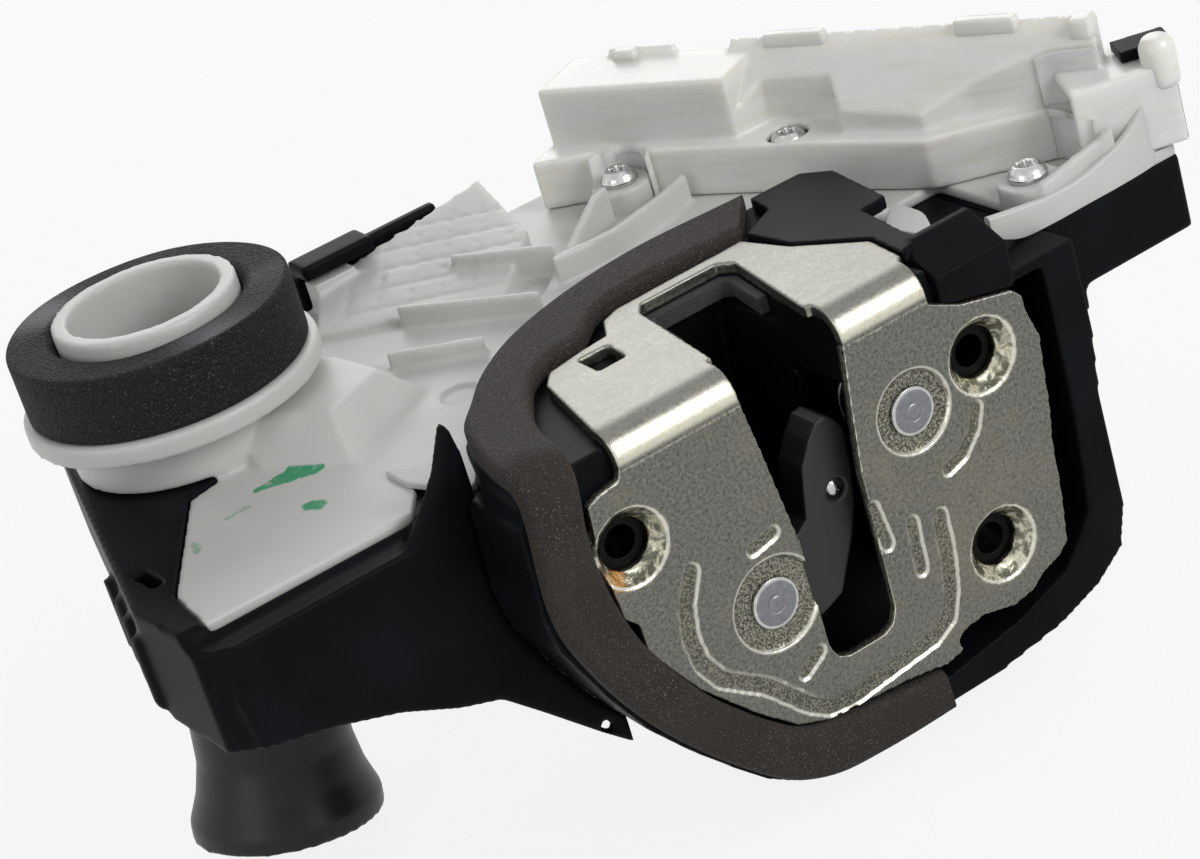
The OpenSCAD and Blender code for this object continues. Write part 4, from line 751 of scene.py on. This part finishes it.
# Outer and inner edge of the foam strip, from its lower right end over the fold to its end on the deck
FOAM_EDGES = (
    (on_front(-20.6, -52.4), on_front(-20.9, -45.4)), (on_front(-28, -52.5), on_front(-28.5, -44.6)),
    (on_front(-35, -52.3), on_front(-35.2, -43.6)), (on_front(-42.6, -51.6), on_front(-42.2, -42.4)),
    (on_front(-49, -49.3), on_front(-47.2, -40.6)), (on_front(-53.6, -46.1), on_front(-51.0, -37.6)),
    (on_front(-58.6, -41.2), on_front(-55.3, -33.2)), (on_front(-64, -35.2), on_front(-60.2, -27.4)),
    (on_front(-69.4, -28.2), on_front(-64.4, -20.8)), (on_front(-74, -20.4), on_front(-67.6, -14.6)),
    (on_front(-77.2, -13.4), on_front(-69.3, -9.8)), (on_front(-79.2, -7.6), on_front(-70.5, -4.6)),
    (on_front(-80, -1.6), on_front(-71.3, 1.4)), (on_front(-79.7, 5), on_front(-71.3, 7)),
    (on_front(-79.2, 12), on_front(-70.6, 12.4)), (on_deck(-79.2, 4.5), on_deck(-69.4, 5.2)),
    (on_deck(-78.4, 10.4), on_deck(-68.2, 11.6)), (on_deck(-77, 16.6), on_deck(-66.2, 16.8)),
    (on_deck(-74.4, 23.2), on_deck(-63.6, 21.4)), (on_deck(-70, 28.6), on_deck(-60.4, 26.2)),
    (on_deck(-64, 35.4), on_deck(-55.4, 29.4)), (on_deck(-54.2, 42.6), on_deck(-48.4, 31.2)),
    (on_deck(-42.4, 47), on_deck(-41.6, 36.8)), (on_deck(-25.2, 49.6), on_deck(-31, 38.2)),
    (on_deck(-5.4, 48.6), on_deck(-13.8, 37.4)))


def foam_strip():
    """The strip as a rounded section carried along its two edges and rolled over the fold.

    A point at depth d below the skin and run s from the fold lies at y = front + d, z = fold + s on the front
    face, then on an arc of the fold's radius less d, and then level on the deck. The skin sags in slow waves
    and drops near its edges.
    """
    stations, wave, wave_turns = 170, 0.12, 34
    edge_share, edge_drop = 0.13, 0.9
    outer, inner = (through([pair[k] for pair in FOAM_EDGES], stations) for k in (0, 1))
    section = softened([(0, FOAM_THICK - 0.1), (0, 0), (1, 0), (1, FOAM_THICK - 0.1)], 0.16, 5)
    share, depth = section.T[:, None, :]
    place = inner[:, None] + (outer - inner)[:, None] * share[..., None]
    sag = wave * np.sin(np.linspace(0, wave_turns, stations))[:, None] * (share * (1 - share) * 4)
    near_edge = np.clip(np.maximum(edge_share - share, share - 1 + edge_share) / edge_share, 0, 1)
    depth = depth + edge_drop * near_edge ** 2 * (depth < FOAM_THICK / 2) + sag
    x, run = place[..., 0], place[..., 1]
    middle_y, middle_z = FOAM_FRONT_Y + FOAM_RADIUS, FOAM_TOP_Z - FOAM_RADIUS
    bend = np.clip(run, 0, FOAM_ARC) / FOAM_RADIUS
    radius = FOAM_RADIUS - depth
    y = middle_y - radius * np.cos(bend) + np.maximum(run - FOAM_ARC, 0)
    z = middle_z + radius * np.sin(bend) + np.minimum(run, 0)
    return capped(np.stack([x, y, z], axis=-1))


def tone_setting(name, description, tone):
    """A colour that a user may change."""
    return bpy.props.FloatVectorProperty(name=name, description=description, default=tone, subtype="COLOR",
                                         size=3, min=0, max=1)


class LatchLooks(bpy.types.PropertyGroup):
    """Colours that a user would change."""

    zinc_tone: tone_setting("Zinc", "Tone of the plated steel", (0.175, 0.173, 0.155))
    black_tone: tone_setting("Black", "Tone of the black mouldings", (0.0045, 0.0046, 0.005))
    white_tone: tone_setting("White", "Tone of the white case cover", (0.62, 0.62, 0.6))
    milky_tone: tone_setting("Milky", "Tone of the gear cover", (0.84, 0.83, 0.775))
    foam_tone: tone_setting("Foam", "Tone of the foam strip", (0.032, 0.027, 0.0235))


class StageSizes(bpy.types.PropertyGroup):
    """Sizes of the stage."""

    floor_drop: bpy.props.FloatProperty(name="Floor drop", description="Gap from the part to the floor",
                                        unit="LENGTH", default=0.0005, min=0)
    key_power: bpy.props.FloatProperty(name="Key light", description="Power of the key light",
                                       unit="POWER", default=4.0, min=0)


class LATCH_OT_stage(bpy.types.Operator):
    """Adds the floor, the lights and the camera at the photograph's angle"""

    bl_idname = "latch.stage"
    bl_label = "Stage"

    def execute(self, context):
        scene = context.scene
        self.camera(scene)
        self.floor(scene)
        self.world(scene)
        middle = (CAD_BOX[0] + CAD_BOX[1]) / 2
        for name, offset, size, share in LAMPS:
            self.lamp(name, middle, offset, size, scene.latch_stage.key_power * share)
        scene.view_settings.view_transform = "Standard"
        return {"FINISHED"}

    def camera(self, scene):
        """The camera at the photograph's place and angle."""
        lens = bpy.data.cameras.new("camera")
        lens.sensor_width = SENSOR_MM
        lens.lens = LENS_MM
        lens.clip_start = 0.01
        lens.clip_end = 50.0
        camera = bpy.data.objects.new("camera", lens)
        scene.collection.objects.link(camera)
        right = Vector(CAMERA_RIGHT).normalized()
        forward = Vector(CAMERA_FORWARD)
        forward = (forward - right * forward.dot(right)).normalized()
        turn = Matrix((right, right.cross(forward), -forward)).transposed()
        camera.matrix_world = Matrix.Translation(CAMERA_AT) @ turn.to_4x4()
        scene.camera = camera

    def floor(self, scene):
        """A square floor just below the part."""
        low = CAD_BOX[0].z - scene.latch_stage.floor_drop
        corners = ((-1, -1), (1, -1), (1, 1), (-1, 1))
        mesh = bpy.data.meshes.new("floor")
        mesh.from_pydata([(x * FLOOR_HALF, y * FLOOR_HALF, low) for x, y in corners], [], [(0, 1, 2, 3)])
        floor = bpy.data.objects.new("floor", mesh)
        scene.collection.objects.link(floor)
        mesh.materials.append(self.floor_finish())

    def lamp(self, name, aim, offset, size, power):
        """A square soft light aimed at the object."""
        light = bpy.data.lights.new(name, "AREA")
        light.shape = "SQUARE"
        light.size = size
        light.energy = power
        lamp = bpy.data.objects.new(name, light)
        bpy.context.scene.collection.objects.link(lamp)
        lamp.location = aim + Vector(offset)
        lamp.rotation_mode = "QUATERNION"
        lamp.rotation_quaternion = Vector(offset).to_track_quat("Z", "Y")

    def floor_finish(self):
        """White where the camera or a reflection looks at it, pale grey for shadows."""
        f = Finish("floor", (0.8, 0.8, 0.8), 0.9, Specular_IOR_Level=0.1)
        seen = f.node("ShaderNodeLightPath") + f.node("ShaderNodeLightPath", output=3)
        glow = f.node("ShaderNodeEmission", {}, {"Color": (1, 1, 1, 1), "Strength": 1.0})
        blend = f.node("ShaderNodeMixShader", {}, {0: seen * 0.86, 2: glow})
        f.tree.links.new(f.shader.outputs[0], blend.output.node.inputs[1])
        f.tree.links.new(blend.output, f.tree.nodes["Material Output"].inputs[0])
        return f.material

    def world(self, scene):
        """An even pale world that shows white behind the object."""
        world = bpy.data.worlds.new("studio")
        world.use_nodes = True
        scene.world = world
        tree = world.node_tree
        back = tree.nodes["Background"]
        back.inputs["Color"].default_value = (1, 1, 1, 1)
        path = tree.nodes.new("ShaderNodeLightPath")
        seen = tree.nodes.new("ShaderNodeMath")
        seen.operation = "MAXIMUM"
        tree.links.new(path.outputs["Is Camera Ray"], seen.inputs[0])
        tree.links.new(path.outputs["Is Transmission Ray"], seen.inputs[1])
        shown = tree.nodes.new("ShaderNodeMath")
        shown.operation = "MAXIMUM"
        tree.links.new(seen.outputs[0], shown.inputs[0])
        tree.links.new(path.outputs["Is Glossy Ray"], shown.inputs[1])
        level = tree.nodes.new("ShaderNodeMapRange")
        level.inputs["To Min"].default_value = 0.4
        level.inputs["To Max"].default_value = 1.0
        tree.links.new(shown.outputs[0], level.inputs["Value"])
        tree.links.new(level.outputs[0], back.inputs["Strength"])


class LATCH_OT_striker_plate(bpy.types.Operator):
    """Softens the striker plate, rounds the steel pieces around it and gives them their finishes"""

    bl_idname = "latch.striker_plate"
    bl_label = "Striker plate"

    def execute(self, context):
        softened_solid("striker_plate", 0.3, 4, 0.45)
        for node in ("screw_nuts", "mechanism_frame", "fork_rivet", "pawl_rivet"):
            rounded(node, 0.2)
        return {"FINISHED"}


class LATCH_OT_mouldings(bpy.types.Operator):
    """Softens the plastic mouldings and gives them their finishes"""

    bl_idname = "latch.mouldings"
    bl_label = "Mouldings"

    def execute(self, context):
        for node, cell, rounds, keep in MOULDINGS:
            piece = softened_solid(node, cell, rounds, keep)
            if node == "case_base":
                worn_down(piece, *SHOULDER)
        return {"FINISHED"}


class LATCH_OT_foams(bpy.types.Operator):
    """Builds the foam strip, the foam ring and the slot's pad"""

    bl_idname = "latch.foams"
    bl_label = "Foams"

    def execute(self, context):
        strip = linked("foam_strip", *join(foam_strip()), "strip_foam", BODY["latch_foam"])
        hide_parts("latch_foam")
        self.ring()
        rounded("slot_pad", 0.3)
        return {"FINISHED"}

    def ring(self):
        """The ring: a rounded section turned about the tube, with a slow wave of its skin."""
        low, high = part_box("ring_foam")
        foot, top = low.z / MM, high.z / MM
        outer = (high.x - low.x) / 2 / MM
        bore = 15.1
        section = softened([(bore, foot), (outer, foot), (outer, top), (bore + 1.5, top),
                            (bore + 0.5, top - 0.9), (bore, top - 2.4)], 0.9, 5)
        grid = turned(section, 144, TUBE_AT)
        angle = np.arctan2(grid[..., 1] - TUBE_AT[1], grid[..., 0] - TUBE_AT[0])
        share = (grid[..., 2] - foot) / (top - foot)
        grid[..., 2] -= share * (0.22 + 0.14 * np.sin(2 * angle + 0.7) + 0.08 * np.sin(5 * angle))
        faces = grid_faces(*grid.shape[:2], closed=True)
        piece = linked("foam_ring", grid.reshape(-1, 3), faces, "ring_foam", BODY["ring_foam"])
        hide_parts("ring_foam")


class LATCH_OT_fasteners(bpy.types.Operator):
    """Builds the case screws, the rivet heads and the fork bolt's steel spot"""

    bl_idname = "latch.fasteners"
    bl_label = "Fasteners"

    def execute(self, context):
        self.screws()
        for name, at, radius in RIVET_HEADS:
            profile = [(0, -0.12), (1.1, -0.1), (1.25, 0.06), (1.5, 0.06), (1.7, -0.06), (radius - 1.3, 0.02),
                       (radius - 0.45, 0.12), (radius, 0.45), (radius, 0.78), (0, 0.78)]
            head = turned(softened(profile, 0.25, 3, closed=False), 72, at, "Y")
            linked(name, *join(head), "spring_steel", BODY["fork_rivet"])
        spot_at = FORK_PIVOT[0] + SPOT_FROM_PIVOT[0], FORK_PIVOT[1] + SPOT_FROM_PIVOT[1]
        spot = turned(STEEL_SPOT, 32, spot_at, "Y")
        spot[1:-1] += 0.14 * np.sin(spot[1:-1] * 9.1) * np.cos(spot[1:-1, :, ::-1] * 7.3)
        linked("fork_steel_spot", *join(spot), "bright_steel", BODY["fork_cover"])
        return {"FINISHED"}

    def screws(self):
        """Pan heads: rings of radius r + lobe cos 6a, from the socket's floor over the dome to the tip."""
        rings = np.array(SCREW_RINGS)
        angle = np.linspace(0, 2 * math.pi, 72, endpoint=False)[None, :]
        radius = rings[:, :1] + rings[:, 1:2] * np.cos(SCREW_LOBES * angle)
        screw = np.stack([radius * np.cos(angle), radius * np.sin(angle), rings[:, 2:] + 0 * angle], axis=-1)
        verts, faces = join(*(screw + np.array(at) for at in SCREWS))
        piece = linked("case_screws_turned", verts, faces, SLOT["case_screws"], BODY["case_screws"])
        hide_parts("case_screws")


class LATCH_OT_case_trim(bpy.types.Operator):
    """Builds the white band, tab and lip, and the pads, knob, panels and screw niche of the gear cover"""

    bl_idname = "latch.case_trim"
    bl_label = "Case trim"

    def execute(self, context):
        front = band(FRONT_BAND, 1.5, 0.5)
        tab = pad(TAB, 11.2, 13.2, 0.6, 2.0)
        lip = pad(LIP, 11.02, 12.0, 0.3, 0.4)
        linked("case_front_band", *join(front, tab, lip), "white_plastic", BODY["case_cover"])
        pads = [pad([(s0, v0), (s1, v0), (s1, v1), (s0, v1)], PAD_FOOT, top, 0.7)
                for s0, s1, v0, v1, top in PADS]
        knob = turned(softened(KNOB, 0.6, 3, closed=False), 40, KNOB_AT)
        lower = band(LOWER_PANEL, 0.9, 0.2, 8)
        upper = band(UPPER_PANEL, 0.9, 0.2, 12)
        shelf = pad(SHELF, 19.0, 20.0, 0.2, 0.2)
        placed = [in_cover_run(grid) for grid in (*pads, knob, lower, upper, shelf)]
        linked("gear_cover_trim", *join(*placed, self.niche()), "milky_plastic", BODY["gear_cover"])
        return {"FINISHED"}

    def niche(self):
        """The thin wall that stands in an arc around the first case screw."""
        radius, low, high, first, last = NICHE
        x, y = SCREWS[0][:2]
        stations = [(x + radius * math.cos(turn), y + radius * math.sin(turn), low, high)
                    for turn in np.radians(np.linspace(first, last, 9))]
        return band(stations, 0.5, 0.1)


class LATCH_OT_springs(bpy.types.Operator):
    """Builds the worm and the coiled springs in place of their plain solids"""

    bl_idname = "latch.springs"
    bl_label = "Worm and springs"

    def execute(self, context):
        piece = linked("worm_thread", *join(worm_thread()), SLOT["worm_shaft"], BODY["worm_shaft"])
        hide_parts("worm_shaft")
        for node, at, low, coil in COILS:
            verts, faces = leg_spring(*coil)
            if node == "inside_lever_spring":
                verts = verts + (at[0], at[1], low)
            else:
                verts = np.stack([at[0] + verts[:, 0], low + verts[:, 2], at[1] - verts[:, 1]], axis=1)
            piece = linked(node + "_coil", verts, faces, SLOT[node], BODY[node])
            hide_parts(node)
        return {"FINISHED"}


class LATCH_OT_inner_parts(bpy.types.Operator):
    """Gives every other CAD node its finish"""

    bl_idname = "latch.inner_parts"
    bl_label = "Inner parts"

    def execute(self, context):
        for node in NODES:
            if not NODES[node].hide_render:
                dress(node)
        return {"FINISHED"}


class LATCH_PT_panel(bpy.types.Panel):
    """Lists the steps that build the latch and its settings"""

    bl_idname = "LATCH_PT_panel"
    bl_label = "Door latch actuator"
    bl_space_type = "VIEW_3D"
    bl_region_type = "UI"
    bl_category = "Latch"

    def draw(self, context):
        for step in STEPS:
            self.layout.operator(step.bl_idname)
        for key in LatchLooks.__annotations__:
            self.layout.prop(context.scene.latch_looks, key)
        for key in StageSizes.__annotations__:
            self.layout.prop(context.scene.latch_stage, key)


STEPS = (LATCH_OT_stage, LATCH_OT_striker_plate, LATCH_OT_mouldings, LATCH_OT_foams, LATCH_OT_fasteners,
         LATCH_OT_case_trim, LATCH_OT_springs, LATCH_OT_inner_parts)
CLASSES = (LatchLooks, StageSizes) + STEPS + (LATCH_PT_panel,)


def register():
    """Registers the classes and their settings."""
    for cls in CLASSES:
        bpy.utils.register_class(cls)
    bpy.types.Scene.latch_looks = bpy.props.PointerProperty(type=LatchLooks)
    bpy.types.Scene.latch_stage = bpy.props.PointerProperty(type=StageSizes)


def unregister():
    """Removes what register added."""
    del bpy.types.Scene.latch_stage
    del bpy.types.Scene.latch_looks
    for cls in reversed(CLASSES):
        bpy.utils.unregister_class(cls)


def main():
    """Registers the classes and builds every piece in order."""
    register()
    for step in STEPS:
        group, action = step.bl_idname.split(".")
        getattr(getattr(bpy.ops, group), action)()


if __name__ == "__main__":
    main()
